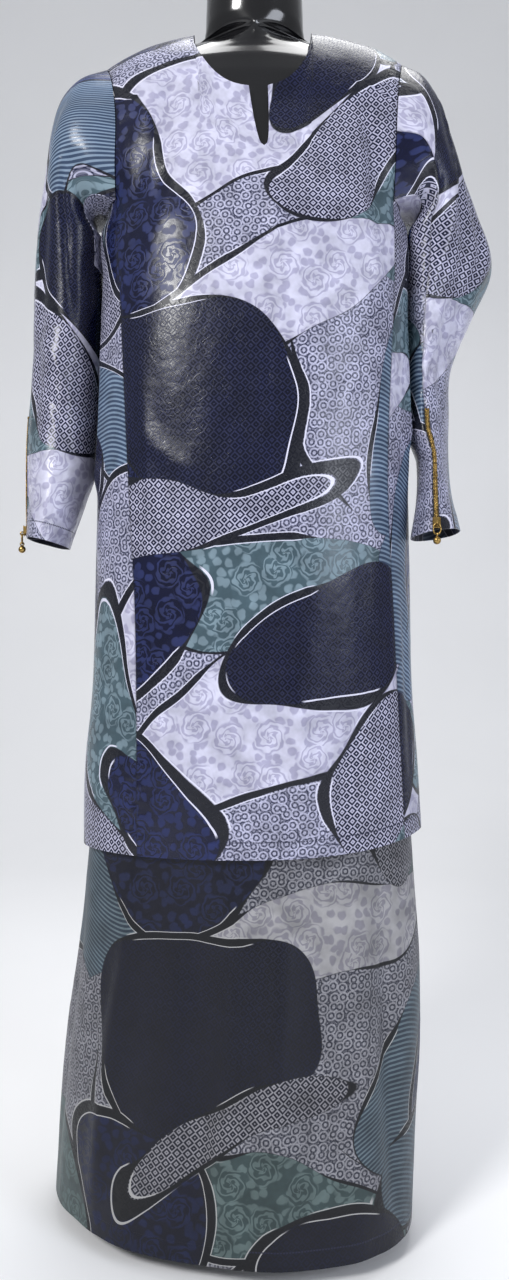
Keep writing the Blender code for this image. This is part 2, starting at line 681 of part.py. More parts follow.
def build_tunic():
    grid, slit_column = body_panel(False, (16, 3, 6), 4, 16)
    slit = {(level, slit_column) for level in range(len(grid) - 1)}
    satin = principled("satin_front", (0.10, 0.12, 0.20), 0.35)
    cloth("front_panel", front_point, grid, satin, shift=-SEAM_GAP / 2, gaps=slit, seams=SIDES)
    grid, _ = body_panel(True, (16, 3, 5), 4, 8)
    satin = principled("satin_back", (0.10, 0.12, 0.20), 0.35)
    cloth("back_panel", back_point, grid, satin, sense=-1, shift=SEAM_GAP / 2, seams=SIDES)
    for side, hand in ((-1, "left"), (1, "right")):
        for at_back, place in ((False, "front"), (True, "back")):
            satin = principled(f"satin_gore_{place}_{hand}", (0.12, 0.14, 0.24), 0.35)
            grid = gore_grid(side, at_back, 16, 3)
            cloth(f"gore_{place}_{hand}", side_point, grid, satin, seams=SIDES + ("top",))


def build_skirt():
    heights = spaced(SKIRT_HEM, WAIST - BAND_DEEP - SEAM_GAP, 17)
    for name, middle in (("skirt_front", 0.0), ("skirt_back", math.pi)):
        across = spaced(middle - math.pi / 2, middle + math.pi / 2, 16)
        grid = [[(angle, z) for angle in across] for z in heights]
        cloth(name, skirt_point, grid, principled(name + "_cloth", (0.06, 0.07, 0.08), 0.6), seams=SIDES)
    around = spaced(0, 2 * math.pi, 32)[:-1]
    grid = [[(angle, z) for angle in around] for z in spaced(WAIST - BAND_DEEP, WAIST, 1)]
    cloth("waistband", skirt_point, grid, principled("waistband_cloth", (0.06, 0.07, 0.08), 0.6), wrap=True)


def build_form():
    """Torso and neck in one closed shell, on a pole and a round base."""
    gloss = principled("form_gloss", (0.01, 0.01, 0.01), 0.15)
    mesh_data = bmesh.new()
    rings = []
    for z, width, front, back, square in FORM:
        ring = []
        for segment in range(FORM_SEGMENTS):
            turn = 2 * math.pi * segment / FORM_SEGMENTS
            x = width * signed_power(math.sin(turn), 2 / square)
            y = -(front if math.cos(turn) > 0 else back) * signed_power(math.cos(turn), 2 / square)
            ring.append(mesh_data.verts.new((x, y, z)))
        rings.append(ring)
    for ring, above in zip(rings, rings[1:]):
        for segment in range(FORM_SEGMENTS):
            beside = (segment + 1) % FORM_SEGMENTS
            mesh_data.faces.new((ring[segment], ring[beside], above[beside], above[segment]))
    mesh_data.faces.new(rings[0])
    mesh_data.faces.new(rings[-1])
    add_object("form_torso", mesh_data, gloss)

    steel = principled("form_steel", (0.02, 0.02, 0.02), 0.35, 0.8)
    low, high = BASE_THICK + TOUCH, FORM[0][0] - TOUCH
    add_disc("form_pole", POLE_RADIUS, low, high, 0.0, steel)
    add_disc("form_base", BASE_RADIUS, 0.0, BASE_THICK, BASE_BEVEL, steel)


def add_disc(name, radius, low, high, bevel, material):
    mesh_data = bmesh.new()
    middle = Matrix.Translation((0, 0, (low + high) / 2))
    bmesh.ops.create_cone(mesh_data, cap_ends=True, segments=FORM_SEGMENTS, radius1=radius, radius2=radius,
                          depth=high - low, matrix=middle)
    if bevel:
        rim = [edge for edge in mesh_data.edges if all(abs(v.co.z - high) < 1e-6 for v in edge.verts)]
        bmesh.ops.bevel(mesh_data, geom=rim, offset=bevel, segments=2, affect="EDGES")
    add_object(name, mesh_data, material)


def main():
    for old in list(bpy.data.objects):
        bpy.data.objects.remove(old)
    build_form()
    build_skirt()
    build_tunic()
    for sleeve in SLEEVES:
        build_sleeve(sleeve)


main()
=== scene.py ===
"""Looks of the baju kurung on its dress form: printed satin cloth, brass zips and a gloss black form.

Metres, +Z up, the front faces -Y. Left and right are as seen from the front.
The cloth lies on the surfaces of its CAD walls, with finer folds, stitching and the print.
"""
import math
from bisect import bisect_right

import bmesh
import bpy
import numpy as np
from mathutils import Matrix, Vector, noise


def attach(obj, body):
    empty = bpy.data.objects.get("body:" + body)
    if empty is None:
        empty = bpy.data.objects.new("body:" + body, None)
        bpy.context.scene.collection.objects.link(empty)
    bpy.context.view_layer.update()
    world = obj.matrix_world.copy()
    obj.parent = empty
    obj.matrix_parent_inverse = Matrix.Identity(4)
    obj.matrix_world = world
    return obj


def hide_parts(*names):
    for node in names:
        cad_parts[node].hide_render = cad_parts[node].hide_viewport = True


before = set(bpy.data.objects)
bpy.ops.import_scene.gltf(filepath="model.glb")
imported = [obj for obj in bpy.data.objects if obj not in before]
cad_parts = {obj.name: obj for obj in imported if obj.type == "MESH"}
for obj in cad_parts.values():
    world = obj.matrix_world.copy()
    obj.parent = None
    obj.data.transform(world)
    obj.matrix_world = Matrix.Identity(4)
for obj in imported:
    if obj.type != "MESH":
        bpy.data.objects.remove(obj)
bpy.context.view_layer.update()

# Driving sizes
SEAM_GAP = 0.0004
ARMHOLE_GAP = 0.0008
PLACE = (-0.0051, -0.0030, 0.0)
UNDERARM = 1.105
TUNIC_HEM = 0.414
HEM_RISE_RIGHT = 0.018
SHOULDER_ROUND = 0.090
RIDGE_ROUNDS = 6
NECK_CENTRE = -0.002
NECK_HALF = 0.0645
NECK_FRONT = 1.215
NECK_BACK = 1.284
NECK_SQUARE = 2.5
NECK_BUNCHING = 0.7
SLIT_TIP = 1.143
SLIT_TOP_X = 0.004
SLIT_TIP_X = 0.010
SLIT_HALF = 0.010
SKIRT_HEM = 0.020
WAIST = 0.985
BAND_DEEP = 0.030

# Tunic body: height, half width left and right, half depth front and back, squareness
BODY = (
    (0.405, 0.190, 0.187, 0.112, 0.112, 2.20),
    (0.500, 0.187, 0.181, 0.116, 0.115, 2.25),
    (0.590, 0.179, 0.174, 0.120, 0.118, 2.30),
    (0.700, 0.176, 0.172, 0.124, 0.121, 2.30),
    (0.840, 0.173, 0.169, 0.127, 0.124, 2.35),
    (0.960, 0.170, 0.168, 0.124, 0.118, 2.40),
    (1.060, 0.166, 0.165, 0.114, 0.108, 2.55),
    (1.105, 0.160, 0.160, 0.104, 0.104, 2.60),
    (1.150, 0.180, 0.180, 0.092, 0.099, 2.50),
    (1.215, 0.190, 0.190, 0.075, 0.090, 2.50),
    (1.310, 0.190, 0.190, 0.066, 0.078, 2.50),
)
# Seams of the body panels: height, left and right edge of the front, then of the back
PANEL_EDGE = (
    (0.405, -0.121, 0.160, -0.126, 0.128),
    (0.650, -0.122, 0.146, -0.128, 0.130),
    (0.810, -0.130, 0.138, -0.132, 0.134),
    (1.017, -0.141, 0.147, -0.143, 0.144),
    (1.105, -0.147, 0.148, -0.147, 0.148),
    (1.190, -0.147, 0.151, -0.147, 0.151),
    (1.240, -0.154, 0.156, -0.154, 0.156),
    (1.275, -0.166, 0.163, -0.166, 0.163),
)
# Shoulder ridge: x, height
SHOULDER = (
    (-0.175, 1.2640),
    (-0.150, 1.2775),
    (-0.101, 1.2980),
    (-0.064, 1.3050),
    (0.000, 1.3080),
    (0.062, 1.3065),
    (0.101, 1.3000),
    (0.129, 1.2935),
    (0.152, 1.2830),
    (0.172, 1.2700),
)
# Side seam between the gores: height, angle from the side towards the front
SIDE_SEAM = ((0.405, 0.20), (0.700, 0.10), (1.105, 0.02))
# Folds: x and height at the top, x and height at the foot, bow, half width, depth out
FRONT_FOLDS = (
    (-0.078, 1.255, -0.128, 1.010, -0.010, 0.013, -0.0045),
    (-0.098, 1.240, -0.108, 1.120, -0.006, 0.012, 0.0030),
    (0.112, 1.205, 0.140, 1.080, 0.006, 0.013, -0.0040),
    (0.128, 0.960, 0.128, 0.640, 0.002, 0.009, 0.0030),
    (-0.116, 0.920, -0.108, 0.680, 0.002, 0.009, 0.0030),
    (-0.096, 0.620, -0.090, 0.420, 0.004, 0.016, 0.0040),
    (0.020, 0.900, 0.052, 0.420, 0.008, 0.026, 0.0025),
)
BACK_FOLDS = (
    (0.092, 1.250, 0.124, 1.020, 0.008, 0.014, -0.0045),
    (-0.100, 1.230, -0.122, 1.060, -0.006, 0.014, -0.0040),
    (-0.040, 1.000, -0.056, 0.430, -0.006, 0.022, 0.0035),
    (0.070, 0.900, 0.082, 0.420, 0.006, 0.018, 0.0040),
)
# Skirt: height, left and right edge, front and back depth, skew of the section
SKIRT = (
    (0.015, -0.225, 0.171, 0.143, 0.141, 0.150),
    (0.120, -0.221, 0.176, 0.132, 0.130, 0.130),
    (0.210, -0.211, 0.181, 0.122, 0.120, 0.090),
    (0.300, -0.196, 0.181, 0.112, 0.110, 0.040),
    (0.414, -0.183, 0.175, 0.104, 0.104, 0.000),
    (0.600, -0.173, 0.168, 0.110, 0.108, 0.000),
    (0.760, -0.169, 0.165, 0.114, 0.111, 0.000),
    (0.870, -0.165, 0.162, 0.115, 0.112, 0.000),
    (0.930, -0.153, 0.151, 0.108, 0.105, 0.000),
    (0.985, -0.1265, 0.1265, 0.0945, 0.0905, 0.000),
)
SKIRT_FOLDS = (
    (-0.060, 0.405, -0.072, 0.060, 0.004, 0.015, -0.0060),
    (-0.030, 0.400, -0.030, 0.040, -0.004, 0.018, 0.0050),
    (0.095, 0.390, 0.118, 0.030, 0.006, 0.020, 0.0050),
)
SKIRT_BACK_FOLDS = (
    (0.080, 0.500, 0.100, 0.030, 0.004, 0.016, -0.0060),
    (-0.050, 0.440, -0.074, 0.030, -0.004, 0.020, 0.0050),
)
# Sleeves: station, lower x and z, upper x and z, middle y, half depth, pinch of the
# pressed edges, twist of the front edge towards the body. Station 0 is the armhole.
LEFT_STATIONS = (
    (0, -0.147, 1.105, -0.166, 1.270, 0.000, 0.060, 1.00, 0.000),
    (1, -0.168, 1.107, -0.191, 1.257, 0.000, 0.061, 1.00, 0.000),
    (2, -0.175, 1.105, -0.211, 1.236, 0.001, 0.061, 1.00, 0.000),
    (3, -0.180, 1.101, -0.223, 1.207, 0.004, 0.060, 1.00, 0.000),
    (4, -0.181, 1.092, -0.231, 1.168, 0.008, 0.060, 1.02, 0.001),
    (5, -0.177, 1.077, -0.239, 1.125, 0.012, 0.059, 1.05, 0.003),
    (6, -0.171, 1.045, -0.246, 1.070, 0.016, 0.058, 1.10, 0.005),
    (7, -0.1705, 0.990, -0.250, 1.000, 0.020, 0.058, 1.12, 0.005),
    (8, -0.1735, 0.920, -0.253, 0.925, 0.018, 0.057, 1.15, 0.004),
    (9, -0.177, 0.860, -0.256, 0.862, 0.012, 0.056, 1.15, 0.004),
    (10, -0.186, 0.800, -0.255, 0.803, 0.004, 0.055, 1.15, 0.004),
    (11, -0.207, 0.738, -0.252, 0.749, -0.004, 0.054, 1.12, 0.002),
)
RIGHT_STATIONS = (
    (0, 0.148, 1.105, 0.163, 1.276, 0.000, 0.060, 1.00, 0.000),
    (1, 0.168, 1.107, 0.186, 1.259, 0.000, 0.061, 1.00, 0.000),
    (2, 0.175, 1.105, 0.203, 1.230, 0.001, 0.061, 1.02, 0.000),
    (3, 0.180, 1.101, 0.219, 1.194, 0.004, 0.061, 1.05, 0.003),
    (4, 0.181, 1.092, 0.238, 1.153, 0.008, 0.061, 1.10, 0.009),
    (5, 0.177, 1.077, 0.257, 1.112, 0.012, 0.060, 1.15, 0.018),
    (6, 0.171, 1.045, 0.273, 1.064, 0.016, 0.059, 1.15, 0.024),
    (7, 0.1695, 0.996, 0.253, 1.012, 0.018, 0.058, 1.15, 0.020),
    (8, 0.1705, 0.935, 0.225, 0.943, 0.014, 0.057, 1.15, 0.012),
    (9, 0.172, 0.880, 0.221, 0.885, 0.006, 0.056, 1.15, 0.010),
    (10, 0.179, 0.835, 0.217, 0.838, -0.006, 0.055, 1.12, 0.008),
    (11, 0.175, 0.790, 0.217, 0.793, -0.026, 0.054, 1.10, 0.008),
    (12, 0.166, 0.744, 0.221, 0.753, -0.046, 0.053, 1.05, 0.008),
)
# Folds of a sleeve: angle, first and last station, half angle, depth out
LEFT_SLEEVE_FOLDS = (
    (0.80, 1.5, 9.5, 0.20, -0.0040),
    (2.30, 2.0, 9.0, 0.25, -0.0045),
    (1.50, 4.5, 7.5, 0.30, 0.0030),
)
RIGHT_SLEEVE_FOLDS = (
    (0.75, 2.0, 9.0, 0.18, -0.0050),
    (2.40, 2.0, 9.5, 0.25, -0.0045),
    (1.30, 5.0, 7.0, 0.30, 0.0030),
)
SQUARE_FADE = 4.0
FOLD_FADE = 0.020
SLEEVE_STEPS = (0.08, 0.2)
GUSSET_END = 6
UNDERARM_SPAN = 0.125
ZIP_HALF = 0.004
SLEEVES = (
    dict(name="left", side=-1, edge=0, stations=LEFT_STATIONS, folds=LEFT_SLEEVE_FOLDS,
         zip_angle=1.42, zip_radius=0.055, zip_top=8.6, sense=1),
    dict(name="right", side=1, edge=1, stations=RIGHT_STATIONS, folds=RIGHT_SLEEVE_FOLDS,
         zip_angle=0.0, zip_radius=0.025, zip_top=9.0, sense=-1),
)

# Dress form: height, half width, half depth front and back, squareness
FORM = (
    (0.760, 0.112, 0.076, 0.076, 2.1),
    (0.766, 0.132, 0.088, 0.088, 2.1),
    (0.785, 0.147, 0.099, 0.098, 2.2),
    (0.820, 0.153, 0.103, 0.101, 2.2),
    (0.870, 0.154, 0.104, 0.102, 2.2),
    (0.930, 0.142, 0.098, 0.095, 2.2),
    (0.985, 0.1240, 0.0920, 0.0880, 2.174),
    (1.040, 0.133, 0.096, 0.091, 2.2),
    (1.100, 0.144, 0.096, 0.095, 2.3),
    (1.143, 0.148, 0.085, 0.092, 2.3),
    (1.180, 0.149, 0.076, 0.087, 2.2),
    (1.215, 0.150, 0.067, 0.080, 2.1),
    (1.240, 0.149, 0.062, 0.072, 2.0),
    (1.262, 0.150, 0.055, 0.060, 1.75),
    (1.273, 0.146, 0.050, 0.054, 1.50),
    (1.280, 0.136, 0.048, 0.051, 1.30),
    (1.287, 0.122, 0.047, 0.048, 1.10),
    (1.2935, 0.103, 0.047, 0.047, 0.95),
    (1.2975, 0.086, 0.047, 0.047, 0.90),
    (1.3000, 0.068, 0.047, 0.047, 1.10),
    (1.3035, 0.0565, 0.047, 0.047, 1.60),
    (1.314, 0.0545, 0.048, 0.048, 2.0),
    (1.330, 0.054, 0.050, 0.050, 2.0),
    (1.358, 0.053, 0.050, 0.050, 2.0),
    (1.366, 0.050, 0.047, 0.047, 2.0),
    (1.370, 0.042, 0.040, 0.040, 2.0),
)
TOUCH = 0.0003

# Zip hardware: width, length and thickness of the slider, then the ring, eyes and ball
SLIDER = (0.008, 0.011, 0.004)
SLIDER_UP = 0.15
EYE_PROUD = 0.0016
EYE_LOW = 0.003
EYE_RADIUS = 0.0019
WIRE_RADIUS = 0.0007
RING_HALF = (0.0058, 0.0038)
BALL_RADIUS = 0.004
# Cloth, thread and zip sizes
SATIN_THICK = 0.0009
HEM_STITCH = 0.018
STITCH_PITCH = 0.0030
TOOTH = (0.0028, 0.0009, 0.0015)
TOOTH_PITCH = 0.0018
TOOTH_OFF_LINE = 0.26
TOOTH_PROUD = 0.45
STOP = (0.0021, 0.0026, 0.0018)
STOP_AT = (0.0014, 0.0012, 0.0009)
PLATE = 0.0012
BALL_CAP = ((0.30, 1.00), (0.34, 1.12), (0.20, 1.20))
# Fine relief: depth, and size across and up, of the waves and of the smaller crimps
WAVE_DEEP, WAVE_SIZE = 0.0026, (0.075, 0.19)
CRIMP_DEEP, CRIMP_SIZE = 0.0007, (0.026, 0.055)
# Puckers along the seams and the hem stitching: depth, then reach and spacing of each
PUCKER = 0.0007
SEAM_PUCKER = (0.010, 0.011)
HEM_PUCKER = (0.008, 0.013)
# The relief fades within this distance of a seam or a top edge
EDGE_CALM = 0.02
# Steps of the meshes: up and across the panels, gores, sleeves and skirt, and round the form
FRONT_STEPS = ((110, 24, 34), 14, 44)
BACK_STEPS = ((110, 24, 30), 14, 34)
GORE_STEPS = (110, 9)
SLEEVE_ROUND = 84
SLEEVE_DOWN = (56, 28, 36)
SKIRT_STEPS = (110, 76)
BAND_STEPS = (5, 128)
FORM_ROUND = 128

# Creases on the flat cloth: start across and up, end across and up, bow, half width, depth out
FRONT_CREASES = (
    (-0.105, 1.240, -0.120, 1.050, -0.010, 0.008, -0.0037),
    (0.125, 1.220, 0.135, 1.020, 0.008, 0.009, -0.0045),
    (0.100, 1.100, 0.140, 0.980, 0.006, 0.008, 0.0033),
    (0.010, 1.138, 0.020, 1.020, 0.004, 0.006, 0.0021),
    (-0.060, 0.620, -0.075, 0.420, 0.006, 0.012, 0.0037),
    (0.030, 0.600, 0.045, 0.420, -0.006, 0.014, 0.0033),
    (0.100, 0.560, 0.085, 0.420, 0.004, 0.010, -0.0033),
    (-0.130, 0.860, -0.060, 0.800, 0.006, 0.010, 0.0021),
    (0.140, 0.920, 0.070, 0.860, 0.006, 0.010, 0.0021),
)
BACK_CREASES = (
    (-0.110, 1.230, -0.125, 1.040, -0.008, 0.010, -0.0042),
    (0.115, 1.240, 0.130, 1.060, 0.006, 0.009, -0.0039),
    (-0.020, 1.020, -0.040, 0.820, 0.006, 0.014, 0.0030),
    (0.050, 0.640, 0.065, 0.420, -0.006, 0.014, 0.0039),
    (-0.080, 0.600, -0.070, 0.420, 0.004, 0.012, -0.0033),
    (0.130, 0.940, 0.050, 0.880, 0.006, 0.010, 0.0021),
)
GORE_CREASES = (
    (0.010, 0.980, 0.006, 0.760, 0.004, 0.008, 0.0027),
    (-0.012, 0.700, -0.008, 0.480, -0.004, 0.009, -0.0027),
)
SKIRT_CREASES = (
    (-0.110, 0.410, -0.150, 0.030, 0.008, 0.015, 0.0067),
    (-0.030, 0.400, -0.030, 0.030, -0.006, 0.016, -0.0053),
    (0.040, 0.410, 0.060, 0.030, 0.006, 0.018, 0.0060),
    (0.150, 0.400, 0.190, 0.030, 0.006, 0.015, -0.0067),
    (-0.200, 0.380, -0.240, 0.030, 0.004, 0.014, -0.0045),
)
SKIRT_BACK_CREASES = (
    (-0.140, 0.520, -0.180, 0.030, 0.008, 0.016, 0.0067),
    (0.000, 0.480, 0.020, 0.030, -0.006, 0.018, -0.0060),
    (0.110, 0.500, 0.150, 0.030, 0.006, 0.015, 0.0067),
)
LEFT_CREASES = (
    (0.100, 0.030, 0.070, 0.220, 0.010, 0.010, -0.0035),
    (0.135, 0.080, 0.125, 0.300, 0.006, 0.012, 0.0030),
    (0.060, 0.300, 0.130, 0.340, 0.010, 0.009, 0.0030),
    (0.050, 0.345, 0.120, 0.375, 0.008, 0.008, -0.0026),
    (0.055, 0.255, 0.115, 0.285, 0.006, 0.008, -0.0020),
    (0.090, 0.380, 0.110, 0.520, -0.006, 0.010, 0.0020),
    (-0.060, 0.060, -0.070, 0.260, 0.006, 0.011, -0.0030),
    (-0.090, 0.300, -0.030, 0.340, 0.008, 0.009, 0.0028),
)
RIGHT_CREASES = (
    (-0.150, 0.040, -0.148, 0.260, 0.006, 0.006, 0.0035),
    (-0.110, 0.120, -0.100, 0.340, 0.006, 0.008, -0.0040),
    (-0.165, 0.300, -0.090, 0.250, 0.006, 0.008, 0.0035),
    (-0.165, 0.335, -0.100, 0.310, 0.004, 0.007, -0.0030),
    (0.160, 0.280, 0.115, 0.250, 0.004, 0.007, -0.0030),
    (-0.160, 0.360, -0.105, 0.400, 0.004, 0.007, 0.0025),
    (0.060, 0.060, 0.070, 0.260, 0.006, 0.011, -0.0030),
    (-0.040, 0.280, 0.040, 0.310, 0.008, 0.009, 0.0030),
)
# Where a sleeve hangs against the body: height, width of the gap that the cloth closes
UNDERARM_LEAN = {
    "left": ((0.795, 0.0), (0.815, 0.009), (0.835, 0.005), (0.870, 0.001), (1.040, 0.001), (1.060, 0.008),
             (1.085, 0.018), (1.105, 0.0)),
    "right": ((0.835, 0.0), (0.860, 0.011), (0.885, 0.006), (0.950, 0.004), (1.000, 0.006), (1.030, 0.009),
              (1.060, 0.014), (1.087, 0.020), (1.105, 0.0)),
}
INNER_WALL = 0.165
LEAN_REACH = 0.060
# The flat cut of each piece: width, length, area
CUTS = {
    "front_panel": (0.34, 0.91, 0.263),
    "back_panel": (0.34, 0.92, 0.266),
    "gore_front_left": (0.12, 0.70, 0.063),
    "gore_front_right": (0.10, 0.69, 0.045),
    "gore_back_left": (0.15, 0.70, 0.080),
    "gore_back_right": (0.14, 0.69, 0.074),
    "skirt_front": (0.56, 0.95, 0.447),
    "skirt_back": (0.56, 0.95, 0.446),
    "waistband": (0.82, 0.03, 0.024),
}
SLEEVE_CUT = (0.36, 0.58, 0.137)
GUSSET_CUT = (0.11, 0.11, 0.0074)

# The print: repeat, motif and line sizes in metres
REPEAT = 0.630
ROSE_PITCH = 0.038
LEAF_PITCH = 0.012
LACE_PITCH = 0.0095
HATCH_PITCH = 0.0048
LATTICE_PITCH = 0.0105
OUTLINE_HALF = 0.0040
PALE_LINE = 0.0008
DYE_CLOUD = 0.030
DYE_SHADES = (0.72, 1.24)
PEN_DRIFT = 0.110
OUTLINE_INK = "14161f"
ROSE_LOBES = 5
ROSE_ARMS = 2
# Petals wander by up to 3 mm, over about 11 mm
STIR_SCALE = 90.0
STIR_REACH = 0.006
# Bends of the shapes' edges and of the hatch lines: size and reach
EDGE_BENDS = ((0.260, 0.150), (0.090, 0.024))
HATCH_BOW = (0.21, 0.022)
# Half the thread's width: 0.4 mm, drawn at 1.4 mm
STITCH_HALF = 0.0007
# Grain of the finishes in metres: crumples and wear of the satin, threads of its back (0.3 mm, drawn
# at 1.2 mm), ribs of the tape, tarnish, waver of the lacquer, peel of the powder coat, paper fibres
CRUMPLE_SIZE = 0.016
WEAR_SIZE = 0.012
THREAD_SIZE = 0.0012
RIB_PITCH = 0.0012
TARNISH_SIZE = 0.0025
WAVER_SIZE = 0.045
PEEL_SIZE = 0.002
PAPER_SIZE = 0.4
# One band of a wave texture, at a scale of 1
WAVE_BAND = 0.314
# Satin floats: threads of 0.14 mm, drawn at 0.42 by 1.1 mm
FLOAT_SCALE = (900.0, 2400.0, 1.0)
# Fills of the shapes: ground, mark, figure
FILLS = (
    ("0b0f2a", "1d2650", "damask"),
    ("080b1e", "171c3a", "lattice"),
    ("46595f", "73868c", "damask"),
    ("23273f", "b4b3c4", "lace"),
    ("c6c4d0", "a29fb2", "damask"),
    ("38475c", "7a8c9d", "hatch"),
    ("151a30", "b0aebe", "lattice"),
    ("1a2445", "2f3d68", "damask"),
)
# Ovals of one repeat, the last on top: place across and up, half width, half height, turn, fill
SHAPES = (
    (0.020, 0.560, 0.190, 0.070, 0.5, 4),
    (0.215, 0.430, 0.120, 0.075, -0.4, 2),
    (-0.250, 0.330, 0.130, 0.080, 0.9, 5),
    (0.130, 0.250, 0.085, 0.170, 0.5, 3),
    (0.170, 0.225, 0.050, 0.115, -0.35, 5),
    (-0.230, 0.560, 0.110, 0.090, -0.3, 6),
    (0.270, 0.050, 0.100, 0.120, 0.2, 4),
    (0.060, 0.060, 0.160, 0.060, -0.5, 2),
    (-0.120, 0.470, 0.100, 0.125, 0.3, 0),
    (0.020, 0.350, 0.210, 0.045, 0.35, 4),
    (-0.080, 0.260, 0.125, 0.095, -0.5, 1),
    (0.270, 0.230, 0.075, 0.105, -0.2, 7),
    (-0.250, 0.180, 0.075, 0.110, 0.6, 3),
    (0.130, 0.500, 0.060, 0.095, -0.7, 6),
    (-0.110, 0.080, 0.115, 0.095, 0.2, 0),
    (0.200, 0.145, 0.110, 0.036, 0.8, 5),
    (0.090, 0.000, 0.085, 0.060, 0.9, 1),
    (-0.275, 0.020, 0.060, 0.100, -0.4, 2),
    (-0.020, 0.160, 0.120, 0.026, 0.5, 6),
    (0.275, 0.570, 0.085, 0.060, 0.3, 0),
)
# Where each piece is cut from the printed cloth: across and up
PRINT_AT = {
    "front_panel": (0.04, 0.00),
    "back_panel": (0.27, 0.19),
    "gore_front_left": (-0.24, 0.10),
    "gore_front_right": (0.20, 0.12),
    "gore_back_left": (0.31, 0.33),
    "gore_back_right": (-0.28, 0.41),
    "skirt_front": (-0.02, 0.02),
    "skirt_back": (-0.20, 0.52),
    "waistband": (0.00, 0.25),
    "sleeve_left": (0.05, 0.22),
    "sleeve_right": (0.24, 0.05),
}

# Camera: height of the view where the garment hangs, its distance and its height above the floor
VIEW_HEIGHT = 1.4336
VIEW_DISTANCE = 1.10
EYE_HEIGHT = 0.636
WORLD_LIGHT = 0.42
# Lights: name, place, target, size, power, tint
LIGHTS = (
    ("key_left", (-1.5, -2.0, 2.3), (0.0, 0.0, 0.85), 0.8, 58.0, "ffffff"),
    ("fill_right", (1.8, -1.7, 1.3), (0.0, 0.0, 0.70), 1.2, 26.0, "eef3ff"),
    ("top", (0.2, 0.4, 2.8), (0.0, 0.0, 1.0), 1.4, 26.0, "ffffff"),
)


def along(table, key):
    """Values at a key, on a smooth curve through the rows of a table."""
    keys = [row[0] for row in table]
    key = min(max(key, keys[0]), keys[-1])
    low = min(bisect_right(keys, key), len(keys) - 1) - 1
    first = max(low - 1, 0)
    last = min(low + 2, len(keys) - 1)
    span = keys[low + 1] - keys[low]
    part = (key - keys[low]) / span
    values = []
    rows = table[first], table[low], table[low + 1], table[last]
    for before, start, end, after in zip(*(row[1:] for row in rows)):
        leave = (end - before) / (keys[low + 1] - keys[first]) * span
        reach = (after - start) / (keys[last] - keys[low]) * span
        values.append(
            start * (2 * part**3 - 3 * part**2 + 1)
            + leave * (part**3 - 2 * part**2 + part)
            + end * (3 * part**2 - 2 * part**3)
            + reach * (part**3 - part**2)
        )
    return values


def signed_power(value, power):
    return math.copysign(abs(value) ** power, value)


def mix(start, end, part):
    return start + (end - start) * part


def spaced(start, end, steps):
    return [mix(start, end, step / steps) for step in range(steps + 1)]


def off_seam(x, z, first):
    """Share of a fold that is left near the side edges of a body panel."""
    left, right = along(PANEL_EDGE, z)[first:first + 2]
    return min(max(min(x - left, right - x) / FOLD_FADE, 0.0), 1.0)


def fold_relief(folds, x, z):
    """Height of the folds out of the cloth at a point."""
    relief = 0.0
    for top_x, top_z, foot_x, foot_z, bow, half, depth in folds:
        part = (top_z - z) / (top_z - foot_z)
        if 0 < part < 1:
            swell = math.sin(math.pi * part)
            line = mix(top_x, foot_x, part) + bow * swell
            relief += depth * swell**0.6 * math.exp(-(((x - line) / half) ** 2))
    return relief


def shoulder_cap(x, z):
    """Share of the full depth that is left this near to the shoulder ridge."""
    below = max(along(SHOULDER, x)[0] - z, 0.0)
    return math.sqrt(1 - (1 - min(below / SHOULDER_ROUND, 1.0)) ** 2)


def body_depth(x, z, half_depth, half_width, square):
    across = min(abs(x) / half_width, 1.0)
    return half_depth * (1 - across**square) ** (1 / square) * shoulder_cap(x, z)


def front_point(x, z):
    left, right, front, _, square = along(BODY, z)
    depth = body_depth(x, z, front, right if x > 0 else left, square)
    return np.array((x, -depth - fold_relief(FRONT_FOLDS, x, z) * off_seam(x, z, 0), z))


def back_point(x, z):
    left, right, _, back, square = along(BODY, z)
    depth = body_depth(x, z, back, right if x > 0 else left, square)
    return np.array((x, depth + fold_relief(BACK_FOLDS, x, z) * off_seam(x, z, 2), z))


def side_point(angle, z):
    """Point of the body below the underarm; the angle runs from the front, -left and +right."""
    left, right, front, back, square = along(BODY, z)
    sine, cosine = math.sin(angle), math.cos(angle)
    x = (right if sine > 0 else left) * signed_power(sine, 2 / square)
    y = -(front if cosine > 0 else back) * signed_power(cosine, 2 / square)
    return np.array((x, y, z))


def seam_angle(side, z, at_back):
    """Angle on the body of the seam between a body panel and its gore."""
    left, right, _, _, square = along(BODY, z)
    edge = along(PANEL_EDGE, z)[(1 if side > 0 else 0) + (2 if at_back else 0)]
    angle = math.asin((abs(edge) / (right if side > 0 else left)) ** (square / 2))
    return side * (math.pi - angle if at_back else angle)


def skirt_point(angle, z):
    left, right, front, back, skew = along(SKIRT, z)
    sine, cosine = math.sin(angle), math.cos(angle)
    x = (left + right) / 2 + (right - left) / 2 * signed_power(sine, 0.92)
    y = -(front if cosine > 0 else back) * signed_power(cosine, 0.92) - skew * x
    if cosine > 0:
        y -= fold_relief(SKIRT_FOLDS, x, z)
    else:
        y += fold_relief(SKIRT_BACK_FOLDS, x, z)
    return np.array((x, y, z))


def armhole_top(sleeve):
    """Height where the side edge of the body panels meets the shoulder ridge."""
    return ridge_height(lambda z: along(PANEL_EDGE, z)[sleeve["edge"]])


def ridge_height(edge_x):
    """Height where a line up the cloth, given as x for each height, meets the shoulder ridge."""
    height = PANEL_EDGE[-1][0]
    for _ in range(RIDGE_ROUNDS):
        height = along(SHOULDER, edge_x(height))[0]
    return height


def armhole_corners(sleeve):
    """Angles round the sleeve of the back and the front corner of the underarm."""
    drop = (armhole_top(sleeve) - UNDERARM) / 2
    share = drop / (2 * drop + UNDERARM_SPAN)
    return math.pi * (1 + share), math.pi * (2 - share)


